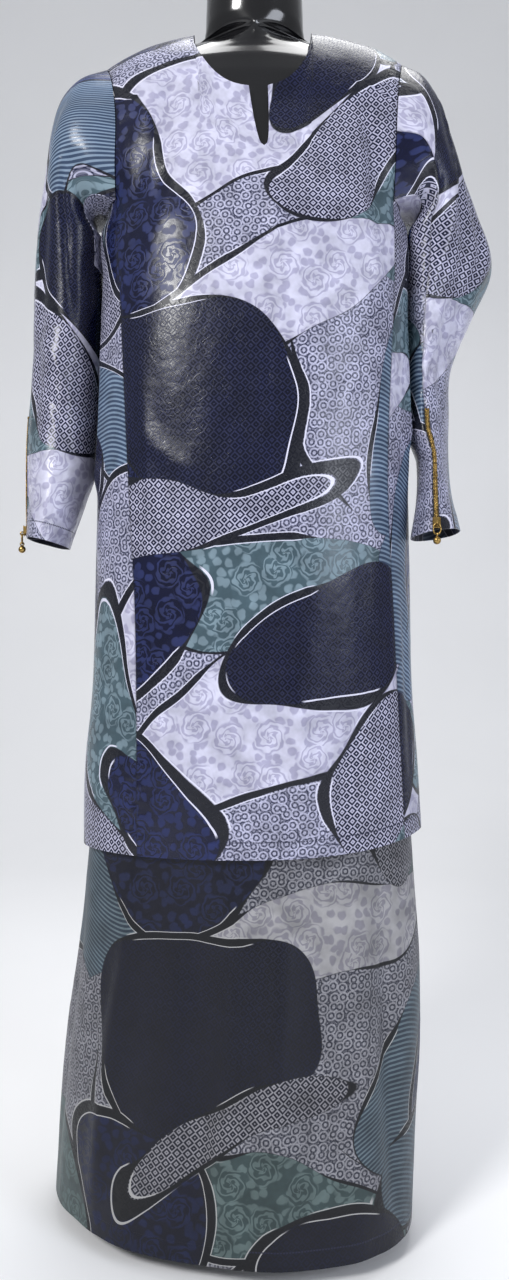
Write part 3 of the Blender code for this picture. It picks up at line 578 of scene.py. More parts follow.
def armhole_point(sleeve, angle):
    """Point on the seam of a sleeve: over the shoulder, down the edges and across the gores."""
    side, top = sleeve["side"], armhole_top(sleeve)
    middle = (top + UNDERARM) / 2
    back_corner, front_corner = armhole_corners(sleeve)
    if angle <= math.pi:
        z = mix(middle, top, math.sin(angle))
        at_front = angle < math.pi / 2
    elif angle < back_corner:
        z = mix(middle, UNDERARM, (angle - math.pi) / (back_corner - math.pi))
        at_front = False
    elif angle > front_corner:
        z = mix(UNDERARM, middle, (angle - front_corner) / (2 * math.pi - front_corner))
        at_front = True
    else:
        part = (angle - back_corner) / (front_corner - back_corner)
        start, end = seam_angle(side, UNDERARM, True), seam_angle(side, UNDERARM, False)
        return side_point(mix(start, end, part), UNDERARM) + (side * ARMHOLE_GAP, 0, 0)
    edge = along(PANEL_EDGE, z)[sleeve["edge"]]
    return (front_point(edge, z) if at_front else back_point(edge, z)) + (side * ARMHOLE_GAP, 0, 0)


def sleeve_section(sleeve, angle, station):
    """Point of a sleeve's oval section, squarer under the arm near the armhole."""
    low_x, low_z, high_x, high_z, middle_y, depth, pinch, twist = along(sleeve["stations"], station)
    seam = armhole_point(sleeve, angle)
    top = armhole_top(sleeve)
    square = max(0.0, 1 - station / SQUARE_FADE)
    seam_rise = (2 * seam[2] - top - UNDERARM) / (top - UNDERARM)
    rise = mix(signed_power(math.sin(angle), pinch), seam_rise, square)
    front = mix(math.cos(angle), -seam[1] / sleeve["stations"][0][6], square)
    half = math.hypot(high_x - low_x, high_z - low_z) / 2
    slim = math.sqrt(1 - (twist / half) ** 2)
    x = (low_x + high_x) / 2 + (high_x - low_x) / 2 * rise * slim - sleeve["side"] * twist * front
    z = (low_z + high_z) / 2 + (high_z - low_z) / 2 * rise
    return np.array((x, middle_y - depth * front, z))


def sleeve_point(sleeve, angle, station):
    angle = angle % (2 * math.pi)
    station = max(station, 0.0)
    point = sleeve_section(sleeve, angle, station)
    if station < 1:
        point += (armhole_point(sleeve, angle) - sleeve_section(sleeve, angle, 0)) * (1 - station)
    out = Vector((sleeve["side"] * math.sin(angle), -math.cos(angle), 0)).normalized()
    for middle, first, last, half, depth in sleeve["folds"]:
        if first < station < last:
            swell = math.sin(math.pi * (station - first) / (last - first)) ** 0.6
            point += np.array(out) * depth * swell * math.exp(-(((angle - middle) / half) ** 2))
    return point


def surface_normal(surface, a, b, steps):
    """Unit normal of a surface, by central differences."""
    step_a, step_b = steps
    along_a = surface(a + step_a, b) - surface(a - step_a, b)
    along_b = surface(a, b + step_b) - surface(a, b - step_b)
    normal = np.cross(along_a, along_b)
    return normal / np.linalg.norm(normal)


def hem_height(x):
    return TUNIC_HEM + HEM_RISE_RIGHT * (max(x, 0.0) / BODY[0][2]) ** 2


def neckline(x, lowest):
    """Height of the neck edge over a place between the two neck points."""
    across = min(abs(x - NECK_CENTRE) / NECK_HALF, 1.0)
    neck_point = along(SHOULDER, math.copysign(NECK_HALF, x) + NECK_CENTRE)[0]
    return mix(neck_point, lowest, (1 - across**NECK_SQUARE) ** (1 / NECK_SQUARE))


def panel_columns(left, right, shoulder_steps, neck_steps):
    """Places across a body panel at its top, closer together near the two neck points."""
    turns = [signed_power(part, NECK_BUNCHING) * math.pi / 2 for part in spaced(-1, 1, neck_steps)]
    neck = [NECK_CENTRE + NECK_HALF * signed_power(math.sin(turn), 2 / NECK_SQUARE) for turn in turns]
    return spaced(left, neck[0], shoulder_steps)[:-1] + neck + spaced(neck[-1], right, shoulder_steps)[1:]


def panel_levels(foot, top, steps):
    """Heights of a column: hem to underarm, to the top band, and closer rows over the shoulder."""
    lower, middle, upper = steps
    band = NECK_FRONT - SLIT_TIP
    levels = spaced(foot, UNDERARM, lower)
    levels += spaced(UNDERARM, top - band, middle)[1:]
    turns = spaced(0, math.pi / 2, upper)[1:]
    return levels + [top - band + band * math.sin(turn) for turn in turns]


def body_panel(at_back, steps, shoulder_steps, neck_steps):
    """Grid of a body panel as (x, height), a row for each level from the hem up."""
    first = 2 if at_back else 0
    top_left, top_right = along(PANEL_EDGE, PANEL_EDGE[-1][0])[first:first + 2]
    grid = []
    for top_x in panel_columns(top_left, top_right, shoulder_steps, neck_steps):
        on_neck = abs(top_x - NECK_CENTRE) < NECK_HALF - 1e-6
        lowest = NECK_BACK if at_back else NECK_FRONT
        share = (top_x - top_left) / (top_right - top_left)

        def edge_x(z, share=share):
            left, right = along(PANEL_EDGE, z)[first:first + 2]
            return mix(left, right, share)

        top = neckline(top_x, lowest) if on_neck else ridge_height(edge_x)
        foot = hem_height(edge_x(TUNIC_HEM))
        grid.append([(edge_x(z), z) for z in panel_levels(foot, top, steps)])
    if not at_back:
        middle = len(grid) // 2
        heights = [z for _, z in grid[middle]]
        grid[middle:middle + 1] = [[(slit_x(z, side), z) for z in heights] for side in (-1, 1)]
    return [list(row) for row in zip(*grid)], len(grid) // 2 - 1


def slit_x(z, side):
    """Edge of the neck slit, which closes at its tip and stays closed below."""
    rise = max(z - SLIT_TIP - 1e-6, 0.0) / (NECK_FRONT - SLIT_TIP)
    return mix(SLIT_TIP_X, SLIT_TOP_X, min(rise, 1.0)) + side * SLIT_HALF * rise**0.35


def gore_grid(side, at_back, steps, columns):
    """Grid of a side gore as (angle, height), between a body panel and the side seam."""
    grid = []
    for level in range(steps + 1):
        row = []
        for column in range(columns + 1):
            part = column / columns
            z = UNDERARM
            for _ in range(2):
                seam = abs(seam_angle(side, z, at_back))
                edge = math.pi / 2 - along(SIDE_SEAM, z)[0]
                angle = side * mix(seam, edge, part)
                foot = hem_height(side_point(angle, TUNIC_HEM)[0])
                z = mix(foot, UNDERARM, level / steps)
            row.append((angle, z))
        grid.append(row)
    return grid


def arc_lengths(points, axis):
    """Running length over a grid of points, along its rows (1) or up its columns (0)."""
    steps = np.linalg.norm(np.diff(points, axis=axis), axis=2)
    first = np.zeros_like(np.take(steps, [0], axis=axis))
    return np.concatenate((first, np.cumsum(steps, axis=axis)), axis=axis)


def grid_normals(points, wrap):
    """Unit normal at each point of a grid; a wrapped grid repeats its first column at its end."""
    if wrap:
        closed = np.concatenate((points[:, -2:-1], points, points[:, 1:2]), axis=1)
        across = (closed[:, 2:] - closed[:, :-2])
    else:
        across = np.gradient(points, axis=1)
    normals = np.cross(across, np.gradient(points, axis=0))
    return normals / np.maximum(np.linalg.norm(normals, axis=2, keepdims=True), 1e-12)


def tube_print(shares, rounds, middle):
    """Place of the print round a tube: each column keeps its share of a smoothed girth."""
    rows = np.arange(len(rounds))
    girth = np.polyval(np.polyfit(rows, rounds, 2), rows)
    profile = shares.mean(axis=0)
    return (profile - profile[middle]) * girth[:, None]


def crease_relief(rows, u, v):
    """Height of sharp sided creases, each along a bowed line over the flat cloth."""
    relief = np.zeros_like(u)
    for start_u, start_v, end_u, end_v, bow, half, depth in rows:
        run_u, run_v = end_u - start_u, end_v - start_v
        length = math.hypot(run_u, run_v)
        part = ((u - start_u) * run_u + (v - start_v) * run_v) / length**2
        swell = np.sin(np.pi * np.clip(part, 0, 1))
        off = ((u - start_u) * run_v - (v - start_v) * run_u) / length - bow * swell
        shape = np.exp(-((off / half) ** 2)) * (1 + 0.6 * np.tanh(2 * off / half))
        relief += depth * swell**0.8 * shape
    return relief


def ripple(u, v, size_u, size_v, seed):
    """Smooth noise from -1 to 1 over the flat cloth, stretched to the given sizes."""
    flat = [noise.noise(Vector((a / size_u, b / size_v, seed))) for a, b in zip(u.flat, v.flat)]
    return np.array(flat).reshape(u.shape)


def drape(name, node, slot, surface, grid, materials, cut=None, held="hung", sense=1, wrap=False, gaps=(),
          slit=None, creases=(), seed=0.0, calm=1.0, print_at=(0.0, 0.0), hem_at_last=False, hemmed=True):
    """A sheet of cloth with a thin rim, laid on the surface that its CAD wall has.

    The first row of the grid is the hem, unless the hem is at the last row. The flat places of the
    cloth go into the UV map "flat", and the distances to the side seams and the hem into "edges".
    A cut is the width, length and area of the flat piece; it is not used.
    """
    points = np.array([[surface(a, b) for a, b in row] for row in grid]) + PLACE
    across = arc_lengths(points if wrap else points[..., :2], 1)
    if slit is not None:
        across[:, slit + 1:] -= (across[:, slit + 1] - across[:, slit])[:, None]
    up = arc_lengths(points, 0)
    total = across[:, -1:].copy()
    middle = across.shape[1] // 2
    u = across - across[:, middle:middle + 1]
    side = np.minimum(across, total - across)
    hem = up[-1:] - up if hem_at_last else up
    top = up if hem_at_last else up[-1:] - up
    v = up + grid[0][middle][1]
    if wrap:
        u, v = tube_print(across / total, total[:, 0], middle), points[..., 2]
    normals = grid_normals(points, wrap) * sense
    quiet = np.clip(top / EDGE_CALM, 0, 1)
    if not wrap:
        quiet *= np.clip(side / EDGE_CALM, 0, 1)
    relief = crease_relief(creases, u, up if wrap else v) * np.clip(quiet, 0.15, 1)
    relief += calm * WAVE_DEEP * quiet * ripple(u, v, *WAVE_SIZE, seed)
    relief += calm * CRIMP_DEEP * quiet * ripple(u, v, *CRIMP_SIZE, seed + 7)
    if not wrap:
        reach, spacing = SEAM_PUCKER
        near = PUCKER * np.exp(-side / reach)
        relief += near * ripple(u * 0 + seed, v, 1.0, spacing, seed + 3) * (side > 0.001)
    if hemmed:
        reach, spacing = HEM_PUCKER
        near = PUCKER * np.exp(-(((hem - HEM_STITCH) / reach) ** 2))
        relief += near * ripple(u, v * 0, spacing, 1.0, seed + 5)
    else:
        hem = hem + 1.0
    if wrap:
        relief[:, -1] = relief[:, 0]
    points += normals * relief[..., None]
    normals = grid_normals(points, wrap) * sense
    inside = points - normals * SATIN_THICK

    mesh_data = bmesh.new()
    flat_map = mesh_data.loops.layers.uv.new("flat")
    edge_map = mesh_data.loops.layers.uv.new("edges")
    columns = len(grid[0]) - 1 if wrap else len(grid[0])
    corners = {}
    outer, inner = {}, {}
    for level in range(len(grid)):
        for column in range(columns):
            place = tuple(points[level, column].round(6))
            if place not in corners:
                corners[place] = (mesh_data.verts.new(points[level, column]),
                                  mesh_data.verts.new(inside[level, column]))
            outer[level, column], inner[level, column] = corners[place]
    for level in range(len(grid) - 1):
        for column in range(len(grid[0]) - 1):
            if (level, column) in gaps:
                continue
            ring = ((level, column), (level, column + 1), (level + 1, column + 1), (level + 1, column))
            for layer, number in ((outer, 0), (inner, 1)):
                kept = {layer[row, place % columns if wrap else place]: (row, place) for row, place in ring}
                if len(kept) < 3:
                    continue
                face = mesh_data.faces.new(kept)
                face.material_index = number
                for loop, (row, place) in zip(face.loops, kept.values()):
                    loop[flat_map].uv = (u[row, place] + print_at[0], v[row, place] + print_at[1])
                    loop[edge_map].uv = (side[row, place], hem[row, place])
    twin = dict(corners.values())
    for edge in [edge for edge in mesh_data.edges if edge.is_boundary and edge.verts[0] in twin]:
        start, end = edge.verts
        known = {loop.vert: loop for loop in edge.link_faces[0].loops}
        rim = mesh_data.faces.new((start, end, twin[end], twin[start]))
        for loop, source in zip(rim.loops, (start, end, end, start)):
            loop[flat_map].uv = known[source][flat_map].uv
            loop[edge_map].uv = (0.01, 0.05)
    bmesh.ops.delete(mesh_data, geom=[v for v in mesh_data.verts if not v.link_faces], context="VERTS")
    bmesh.ops.recalc_face_normals(mesh_data, faces=mesh_data.faces)
    piece = finish_mesh(name, mesh_data, materials, crease=math.radians(70))
    settle(piece, "root", slot, node)


def settle(piece, body, slot, node=None):
    """A piece rides its body and takes the place of its CAD node, if it has one; the slot is not used."""
    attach(piece, body)
    if node:
        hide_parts(node)


def finish_mesh(name, mesh_data, materials, crease=math.radians(50)):
    mesh = bpy.data.meshes.new(name)
    mesh_data.to_mesh(mesh)
    mesh_data.free()
    mesh.shade_smooth()
    mesh.set_sharp_from_angle(angle=crease)
    for material in materials:
        mesh.materials.append(material)
    piece = bpy.data.objects.new(name, mesh)
    bpy.context.collection.objects.link(piece)
    return piece


def lean(name, height):
    """How far the sleeve and the body each swell at a height to hang against each other."""
    heights, gaps = zip(*UNDERARM_LEAN[name])
    return float(np.interp(height, heights, gaps)) / 2


def leaning_gore(side, name, at_back):
    """The surface of a side gore, swollen towards the sleeve along its side seam."""
    def surface(angle, z):
        seam = abs(seam_angle(side, z, at_back))
        edge = math.pi / 2 - along(SIDE_SEAM, z)[0]
        part = min(max((abs(angle) - seam) / (edge - seam), 0), 1)
        return side_point(angle, z) + np.array((side * lean(name, z) * part**2 * (3 - 2 * part), 0, 0))
    return surface


def sleeve_columns(sleeve, steps_round):
    """Angles round a sleeve, with its zip column first and the corners of its gusset."""
    half = ZIP_HALF / sleeve["zip_radius"]
    start = sleeve["zip_angle"] - half
    back_corner, front_corner = armhole_corners(sleeve)
    marks = (start, start + 2 * half, back_corner, front_corner, start + 2 * math.pi)
    angles = [start]
    for low, high in zip(marks, marks[1:]):
        steps = 2 if low == start else math.ceil((high - low) / (2 * math.pi) * steps_round)
        angles += spaced(low, high, steps)[1:]
    return angles, angles.index(back_corner), angles.index(front_corner)


def dress_sleeve(sleeve, cloth, creases, seed):
    """Sleeve and gusset of one side; gives the surface, and the stations and angles left for the zip."""
    hand, sense = sleeve["name"], sleeve["sense"]
    angles, gusset_start, gusset_end = sleeve_columns(sleeve, SLEEVE_ROUND)
    last = sleeve["stations"][-1][0]
    gusset_level, middle_steps, zip_steps = SLEEVE_DOWN
    stations = spaced(0, GUSSET_END, gusset_level) + spaced(GUSSET_END, sleeve["zip_top"], middle_steps)[1:]
    zip_level = len(stations) - 1
    stations += spaced(sleeve["zip_top"], last, zip_steps)[1:]
    left_out = {(level, column) for level in range(zip_level, len(stations) - 1) for column in (0, 1)}
    left_out |= {(level, column) for level in range(gusset_level)
                 for column in range(gusset_start, gusset_end)}

    def surface(angle, station):
        point = sleeve_point(sleeve, angle, station)
        off = min(max(1 - (abs(point[0]) - INNER_WALL) / LEAN_REACH, 0), 1)
        return point - np.array((sleeve["side"] * lean(hand, point[2]) * off**2 * (3 - 2 * off), 0, 0))

    print_at = PRINT_AT["sleeve_" + hand]
    grid = [[(angle, station) for angle in angles] for station in stations]
    drape("cloth_sleeve_" + hand, "sleeve_" + hand, "tunic_satin", surface, grid, cloth, SLEEVE_CUT,
          sense=sense, wrap=True, gaps=left_out, creases=creases, seed=seed, calm=1.5, print_at=print_at,
          hem_at_last=True)
    grid = [row[gusset_start:gusset_end + 1] for row in grid[:gusset_level + 1]]
    drape("cloth_gusset_" + hand, "gusset_" + hand, "tunic_satin", surface, grid, cloth, GUSSET_CUT,
          sense=sense, seed=seed + 1, print_at=print_at, hemmed=False)
    return surface, stations[zip_level:], angles[:3]


def linear(code):
    """Linear colour of an sRGB hex code."""
    parts = [int(code[i:i + 2], 16) / 255 for i in (0, 2, 4)]
    return (*[p / 12.92 if p <= 0.04045 else ((p + 0.055) / 1.055) ** 2.4 for p in parts], 1.0)


def plug(tree, node, sockets):
    """Sets the sockets of a node to values, or links them to a node or an output."""
    for socket, value in dict(sockets).items():
        if isinstance(value, bpy.types.Node):
            value = value.outputs[0]
        if isinstance(value, bpy.types.NodeSocket):
            tree.links.new(value, node.inputs[socket])
        else:
            node.inputs[socket].default_value = value


def add(tree, kind, sockets=(), operation=None, **settings):
    """A shader node with its settings, and its sockets set or linked."""
    made = tree.nodes.new(kind if kind.startswith("Node") else "ShaderNode" + kind)
    if operation:
        made.operation = operation
    for key, value in settings.items():
        setattr(made, key, value)
    plug(tree, made, sockets)
    return made


def print_group():
    """The printed cloth: curved shapes with dark outlines, each with its own small pattern.

    Takes the flat place on the cloth in metres and gives the colour, the share of matte motif and
    the height of the jacquard.
    """
    tree = bpy.data.node_groups.new("patchwork_print", "ShaderNodeTree")
    tree.interface.new_socket("Place", in_out="INPUT", socket_type="NodeSocketVector")
    for name, kind in (("Color", "Color"), ("Matte", "Float"), ("Height", "Float")):
        tree.interface.new_socket(name, in_out="OUTPUT", socket_type="NodeSocket" + kind)
    place = add(tree, "NodeGroupInput").outputs[0]
    figures = dict(damask=rose_damask, lace=lace_rings, hatch=bowed_hatch, lattice=diamond_lattice)
    marks = {name: figure(tree, place) for name, figure in figures.items()}
    edge, fill = laid_shapes(tree, place)
    colour, matte = linear("1d2340"), 0.0
    for number, (ground, mark, figure) in enumerate(FILLS):
        chosen = add(tree, "Math", {0: fill, 1: float(number), 2: 0.4}, "COMPARE")
        tone = add(tree, "Mix", {"Factor": marks[figure], 6: linear(ground), 7: linear(mark)},
                   data_type="RGBA")
        colour = add(tree, "Mix", {"Factor": chosen, 6: colour, 7: tone.outputs[2]}, data_type="RGBA")
        colour = colour.outputs[2]
        matte = add(tree, "Mix", {"Factor": chosen, 2: matte, 3: marks[figure]})
    colour = outline(tree, place, edge, cloud_dye(tree, place, colour))
    add(tree, "NodeGroupOutput", {0: colour, 1: matte, 2: marks["damask"]})
    return tree


def laid_shapes(tree, place):
    """Ovals laid over one another with bent edges; gives the distance to an edge and the fill on top."""
    bent = place
    for size, reach in EDGE_BENDS:
        cloud = add(tree, "TexNoise", {"Vector": place, "Scale": 1 / size, "Detail": 0.0},
                    noise_dimensions="2D")
        push = add(tree, "VectorMath", {0: cloud.outputs["Color"], 1: (0.5, 0.5, 0.0)}, "SUBTRACT")
        bent = add(tree, "VectorMath", {0: push, 1: (reach, reach, 0.0), 2: bent}, "MULTIPLY_ADD")
    edge, fill = 1.0, 3.0
    half = REPEAT / 2
    for u, v, wide, high, turn, kind in SHAPES:
        window = {0: bent, 1: (u + half, v + half, 1.0), 2: (u - half, v - half, -1.0)}
        seen = add(tree, "VectorMath", window, "WRAP")
        seen = add(tree, "Mapping", {"Vector": seen, "Location": (u, v, 0.0), "Rotation": (0.0, 0.0, turn),
                                     "Scale": (wide, high, 1.0)}, vector_type="TEXTURE")
        size = min(wide, high)
        far = add(tree, "VectorMath", {0: seen}, "LENGTH").outputs["Value"]
        off = add(tree, "Math", {0: far, 1: size, 2: -size}, "MULTIPLY_ADD")
        inside = add(tree, "Math", {0: off, 1: 0.0}, "LESS_THAN")
        deep = add(tree, "Math", {0: off, 1: -1.0}, "MULTIPLY")
        beyond = add(tree, "Math", {0: off, 1: edge}, "MINIMUM")
        edge = add(tree, "Mix", {"Factor": inside, 2: beyond, 3: deep})
        fill = add(tree, "Mix", {"Factor": inside, 2: fill, 3: float(kind)})
    return edge, fill


def rose_damask(tree, place):
    """Roses of coiled, lobed petals round scattered centres, with small leaves between them."""
    stir = add(tree, "TexNoise", {"Vector": place, "Scale": STIR_SCALE, "Detail": 1.0}, noise_dimensions="2D")
    stir = add(tree, "VectorMath", {0: stir.outputs["Color"], 1: (0.5, 0.5, 0.5)}, "SUBTRACT")
    stirred = add(tree, "VectorMath", {0: stir, 1: (STIR_REACH, STIR_REACH, 0.0), 2: place}, "MULTIPLY_ADD")
    bloom = add(tree, "TexVoronoi", {"Vector": stirred, "Scale": 1 / ROSE_PITCH, "Randomness": 0.7},
                voronoi_dimensions="2D")
    arm = add(tree, "VectorMath", {0: stirred, 1: bloom.outputs["Position"]}, "SUBTRACT")
    turn = add(tree, "TexGradient", {"Vector": arm}, gradient_type="RADIAL").outputs["Fac"]
    lobes = add(tree, "Math", {0: turn, 1: ROSE_LOBES * 2 * math.pi}, "MULTIPLY")
    lobes = add(tree, "Math", {0: bloom.outputs["Distance"], 1: 25.0, 2: lobes}, "MULTIPLY_ADD")
    lobes = add(tree, "Math", {0: lobes}, "SINE")
    phase = add(tree, "Math", {0: bloom.outputs["Distance"], 1: 42.0}, "MULTIPLY")
    phase = add(tree, "Math", {0: turn, 1: ROSE_ARMS * 2 * math.pi, 2: phase}, "MULTIPLY_ADD")
    phase = add(tree, "Math", {0: lobes, 1: 1.3, 2: phase}, "MULTIPLY_ADD")
    coils = add(tree, "Math", {0: phase}, "SINE")
    petals = add(tree, "MapRange", {"Value": coils, "From Min": -0.25, "From Max": 0.45})
    disc = add(tree, "MapRange", {"Value": bloom.outputs["Distance"], "From Min": 0.47, "From Max": 0.40})
    leaf = add(tree, "TexVoronoi", {"Vector": stirred, "Scale": 1 / LEAF_PITCH}, voronoi_dimensions="2D")
    leaves = add(tree, "MapRange", {"Value": leaf.outputs["Distance"], "From Min": 0.42, "From Max": 0.30})
    return add(tree, "Mix", {"Factor": disc, 2: leaves, 3: petals})


def lace_rings(tree, place):
    """Rings with a dot in each, on a net of smaller cells."""
    eyelet = add(tree, "TexVoronoi", {"Vector": place, "Scale": 1 / LACE_PITCH, "Randomness": 0.55},
                 voronoi_dimensions="2D")
    wave = add(tree, "Math", {0: eyelet.outputs["Distance"], 1: 17.0}, "MULTIPLY")
    wave = add(tree, "Math", {0: wave}, "SINE")
    ring = add(tree, "MapRange", {"Value": wave, "From Min": -0.2, "From Max": 0.4})
    cells = add(tree, "TexVoronoi", {"Vector": place, "Scale": 2.2 / LACE_PITCH}, voronoi_dimensions="2D",
                feature="DISTANCE_TO_EDGE")
    net = add(tree, "MapRange", {"Value": cells.outputs["Distance"], "From Min": 0.06, "From Max": 0.14,
                                 "To Max": 0.25})
    return add(tree, "Math", {0: ring, 1: 0.75, 2: net}, "MULTIPLY_ADD")


def bowed_hatch(tree, place):
    """Close lines that bow like combed hair."""
    axes = add(tree, "SeparateXYZ", {0: place})
    bow = add(tree, "Math", {0: axes.outputs[0], 1: 2 * math.pi / HATCH_BOW[0]}, "MULTIPLY")
    bow = add(tree, "Math", {0: bow}, "SINE")
    level = add(tree, "Math", {0: bow, 1: HATCH_BOW[1], 2: axes.outputs[1]}, "MULTIPLY_ADD")
    level = add(tree, "Math", {0: level, 1: 2 * math.pi / HATCH_PITCH}, "MULTIPLY")
    lines = add(tree, "Math", {0: level}, "SINE")
    return add(tree, "MapRange", {"Value": lines, "From Min": -0.1, "From Max": 0.5})


def diamond_lattice(tree, place):
    """Small diamonds in even rows, each a frame round a filled middle."""
    cell = add(tree, "TexVoronoi", {"Vector": place, "Scale": 1 / LATTICE_PITCH, "Randomness": 0.0},
               voronoi_dimensions="2D", distance="MANHATTAN")
    wave = add(tree, "Math", {0: cell.outputs["Distance"], 1: 15.0}, "MULTIPLY")
    wave = add(tree, "Math", {0: wave}, "COSINE")
    return add(tree, "MapRange", {"Value": wave, "From Min": -0.1, "From Max": 0.5})


def cloud_dye(tree, place, colour):
    """Slow clouding of the dye, lighter and darker."""
    dye = add(tree, "TexNoise", {"Vector": place, "Scale": 1 / DYE_CLOUD, "Detail": 3.0, "Roughness": 0.6},
              noise_dimensions="2D")
    shade = add(tree, "MapRange", {"Value": dye, "From Min": 0.25, "From Max": 0.75, "To Min": DYE_SHADES[0],
                                   "To Max": DYE_SHADES[1]})
    return add(tree, "VectorMath", {0: colour, "Scale": shade}, "SCALE")


def outline(tree, place, edge, colour):
    """A dark band of changing width between the shapes, with a thin pale line beside parts of it."""
    pen = add(tree, "TexNoise", {"Vector": place, "Scale": 1 / PEN_DRIFT, "Detail": 0.0},
              noise_dimensions="2D")
    width = add(tree, "MapRange", {"Value": pen, "From Min": 0.36, "From Max": 0.60, "To Min": 0.0002,
                                   "To Max": OUTLINE_HALF})
    inside = add(tree, "Math", {0: edge, 1: width}, "SUBTRACT")
    band = add(tree, "MapRange", {"Value": inside, "From Min": 0.0003, "From Max": -0.0003})
    beside = add(tree, "Math", {0: inside, 1: PALE_LINE, 2: PALE_LINE * 0.6}, "COMPARE")
    drawn = add(tree, "MapRange", {"Value": pen, "From Min": 0.50, "From Max": 0.53})
    line = add(tree, "Math", {0: beside, 1: drawn}, "MULTIPLY")
    dark = add(tree, "Mix", {"Factor": band, 6: colour, 7: linear(OUTLINE_INK)}, data_type="RGBA")
    pale = add(tree, "Mix", {"Factor": line, 6: dark.outputs[2], 7: linear("dcdae4")}, data_type="RGBA")
    return pale.outputs[2]


def new_material(name):
    material = bpy.data.materials.new(name)
    material.use_nodes = True
    return material, material.node_tree, material.node_tree.nodes["Principled BSDF"]


def thread_and_seam_shade(tree, colour, flat, side, hem):
    """Thread along the hem and painted seam shade over the print, darkest in the side seams; gives the
    stitched row too.
    """
    row = add(tree, "Math", {0: hem, 1: HEM_STITCH, 2: STITCH_HALF}, "COMPARE")
    along = add(tree, "SeparateXYZ", {0: flat})
    dash = add(tree, "Math", {0: along, 1: STITCH_PITCH}, "MODULO")
    dash = add(tree, "Math", {0: dash, 1: STITCH_PITCH * 0.3}, "GREATER_THAN")
    thread = add(tree, "Math", {0: row, 1: dash}, "MULTIPLY")
    thread = add(tree, "Math", {0: thread, 1: 0.85}, "MULTIPLY")
    stitched = add(tree, "Mix", {"Factor": thread, 6: colour, 7: linear("20233a")}, data_type="RGBA")
    # Painted shade: the colour falls to 0.55 of itself at a side seam and recovers within 2.2 mm of it
    seam_shade = add(tree, "MapRange", {"Value": side, "From Max": 0.0022, "To Min": 0.55})
    return add(tree, "VectorMath", {0: stitched.outputs[2], "Scale": seam_shade}, "SCALE"), row


def cloth_height(tree, flat, side, row, jacquard):
    """Jacquard figure, satin floats, small crumples, the seam's groove and its puckers, in metres."""
    slant = add(tree, "Mapping", {"Vector": flat, "Rotation": (0, 0, 0.9), "Scale": FLOAT_SCALE})
    floats = add(tree, "TexNoise", {"Vector": slant, "Scale": 1.0, "Detail": 1.0}, noise_dimensions="2D")
    crumple = add(tree, "TexNoise", {"Vector": flat, "Scale": 1 / CRUMPLE_SIZE, "Detail": 2.0,
                                     "Roughness": 0.45}, noise_dimensions="2D")
    pull = add(tree, "Mapping", {"Vector": flat, "Scale": (20.0, 110.0, 1.0)})
    pull = add(tree, "TexNoise", {"Vector": pull, "Scale": 1.0, "Detail": 1.0}, noise_dimensions="2D")
    close = add(tree, "MapRange", {"Value": side, "From Min": 0.018, "From Max": 0.001, "To Max": 0.0012})
    groove = add(tree, "MapRange", {"Value": side, "From Max": 0.004, "To Max": 0.0008})
    height = add(tree, "Math", {0: jacquard, 1: 0.00006, 2: groove}, "MULTIPLY_ADD")
    height = add(tree, "Math", {0: floats, 1: 0.00005, 2: height}, "MULTIPLY_ADD")
    height = add(tree, "Math", {0: crumple, 1: 0.0005, 2: height}, "MULTIPLY_ADD")
    height = add(tree, "Math", {0: pull, 1: close, 2: height}, "MULTIPLY_ADD")
    return add(tree, "Math", {0: row, 1: -0.0003, 2: height}, "MULTIPLY_ADD")


def printed_satin(name, group, gloss, matte, tint, sheen):
    """Polyester satin jacquard, printed: long floats shine, the woven roses are duller.

    The floats and the stitches are finer than a pixel, so both are drawn three times as coarse.
    """
    material, tree, shader = new_material(name)
    flat = add(tree, "UVMap", uv_map="flat")
    edges = add(tree, "SeparateXYZ", {0: add(tree, "UVMap", uv_map="edges")})
    side, hem = edges.outputs[0], edges.outputs[1]
    dyed = add(tree, "Group", {0: flat}, node_tree=group)
    colour = add(tree, "VectorMath", {0: dyed, 1: linear(tint)[:3]}, "MULTIPLY")
    colour, row = thread_and_seam_shade(tree, colour, flat, side, hem)
    wear = add(tree, "TexNoise", {"Vector": flat, "Scale": 1 / WEAR_SIZE, "Detail": 2.0},
               noise_dimensions="2D")
    wear = add(tree, "MapRange", {"Value": wear, "To Min": gloss - 0.05, "To Max": gloss + 0.05})
    rough = add(tree, "Math", {0: dyed.outputs[1], 1: matte - gloss, 2: wear}, "MULTIPLY_ADD")
    height = cloth_height(tree, flat, side, row, dyed.outputs[2])
    bump = add(tree, "Bump", {"Height": height, "Strength": 0.8, "Distance": 1.0})
    plug(tree, shader, {"Base Color": colour, "Roughness": rough, "Normal": bump, "IOR": 1.5,
                        "Specular IOR Level": 0.35, "Sheen Weight": sheen, "Sheen Roughness": 0.35,
                        "Sheen Tint": linear("b9c2d6")})
    return material


def satin_back(group):
    """Back of the satin: short bound threads without floats, so it is matt and the print shows faintly."""
    material, tree, shader = new_material("satin_back")
    flat = add(tree, "UVMap", uv_map="flat")
    dyed = add(tree, "Group", {0: flat}, node_tree=group)
    faint = add(tree, "Mix", {"Factor": 0.75, 6: dyed, 7: linear("1d1f2c")}, data_type="RGBA")
    threads = add(tree, "TexNoise", {"Vector": flat, "Scale": 1 / THREAD_SIZE, "Detail": 2.0},
                  noise_dimensions="2D")
    rough = add(tree, "MapRange", {"Value": threads, "To Min": 0.62, "To Max": 0.78})
    bump = add(tree, "Bump", {"Height": threads, "Strength": 0.3, "Distance": 0.0001})
    plug(tree, shader, {"Base Color": faint.outputs[2], "Roughness": rough, "Normal": bump, "IOR": 1.55})
    return material


def mottle(tree, shader, share, tones, relief, sockets):
    """Two tones mixed by a share, a relief of (height, strength, depth), and other sockets of a shader."""
    height, strength, depth = relief
    tone = add(tree, "Mix", {"Factor": share, 6: linear(tones[0]), 7: linear(tones[1])}, data_type="RGBA")
    bump = add(tree, "Bump", {"Height": height, "Strength": strength, "Distance": depth})
    plug(tree, shader, {"Base Color": tone.outputs[2], "Normal": bump} | sockets)


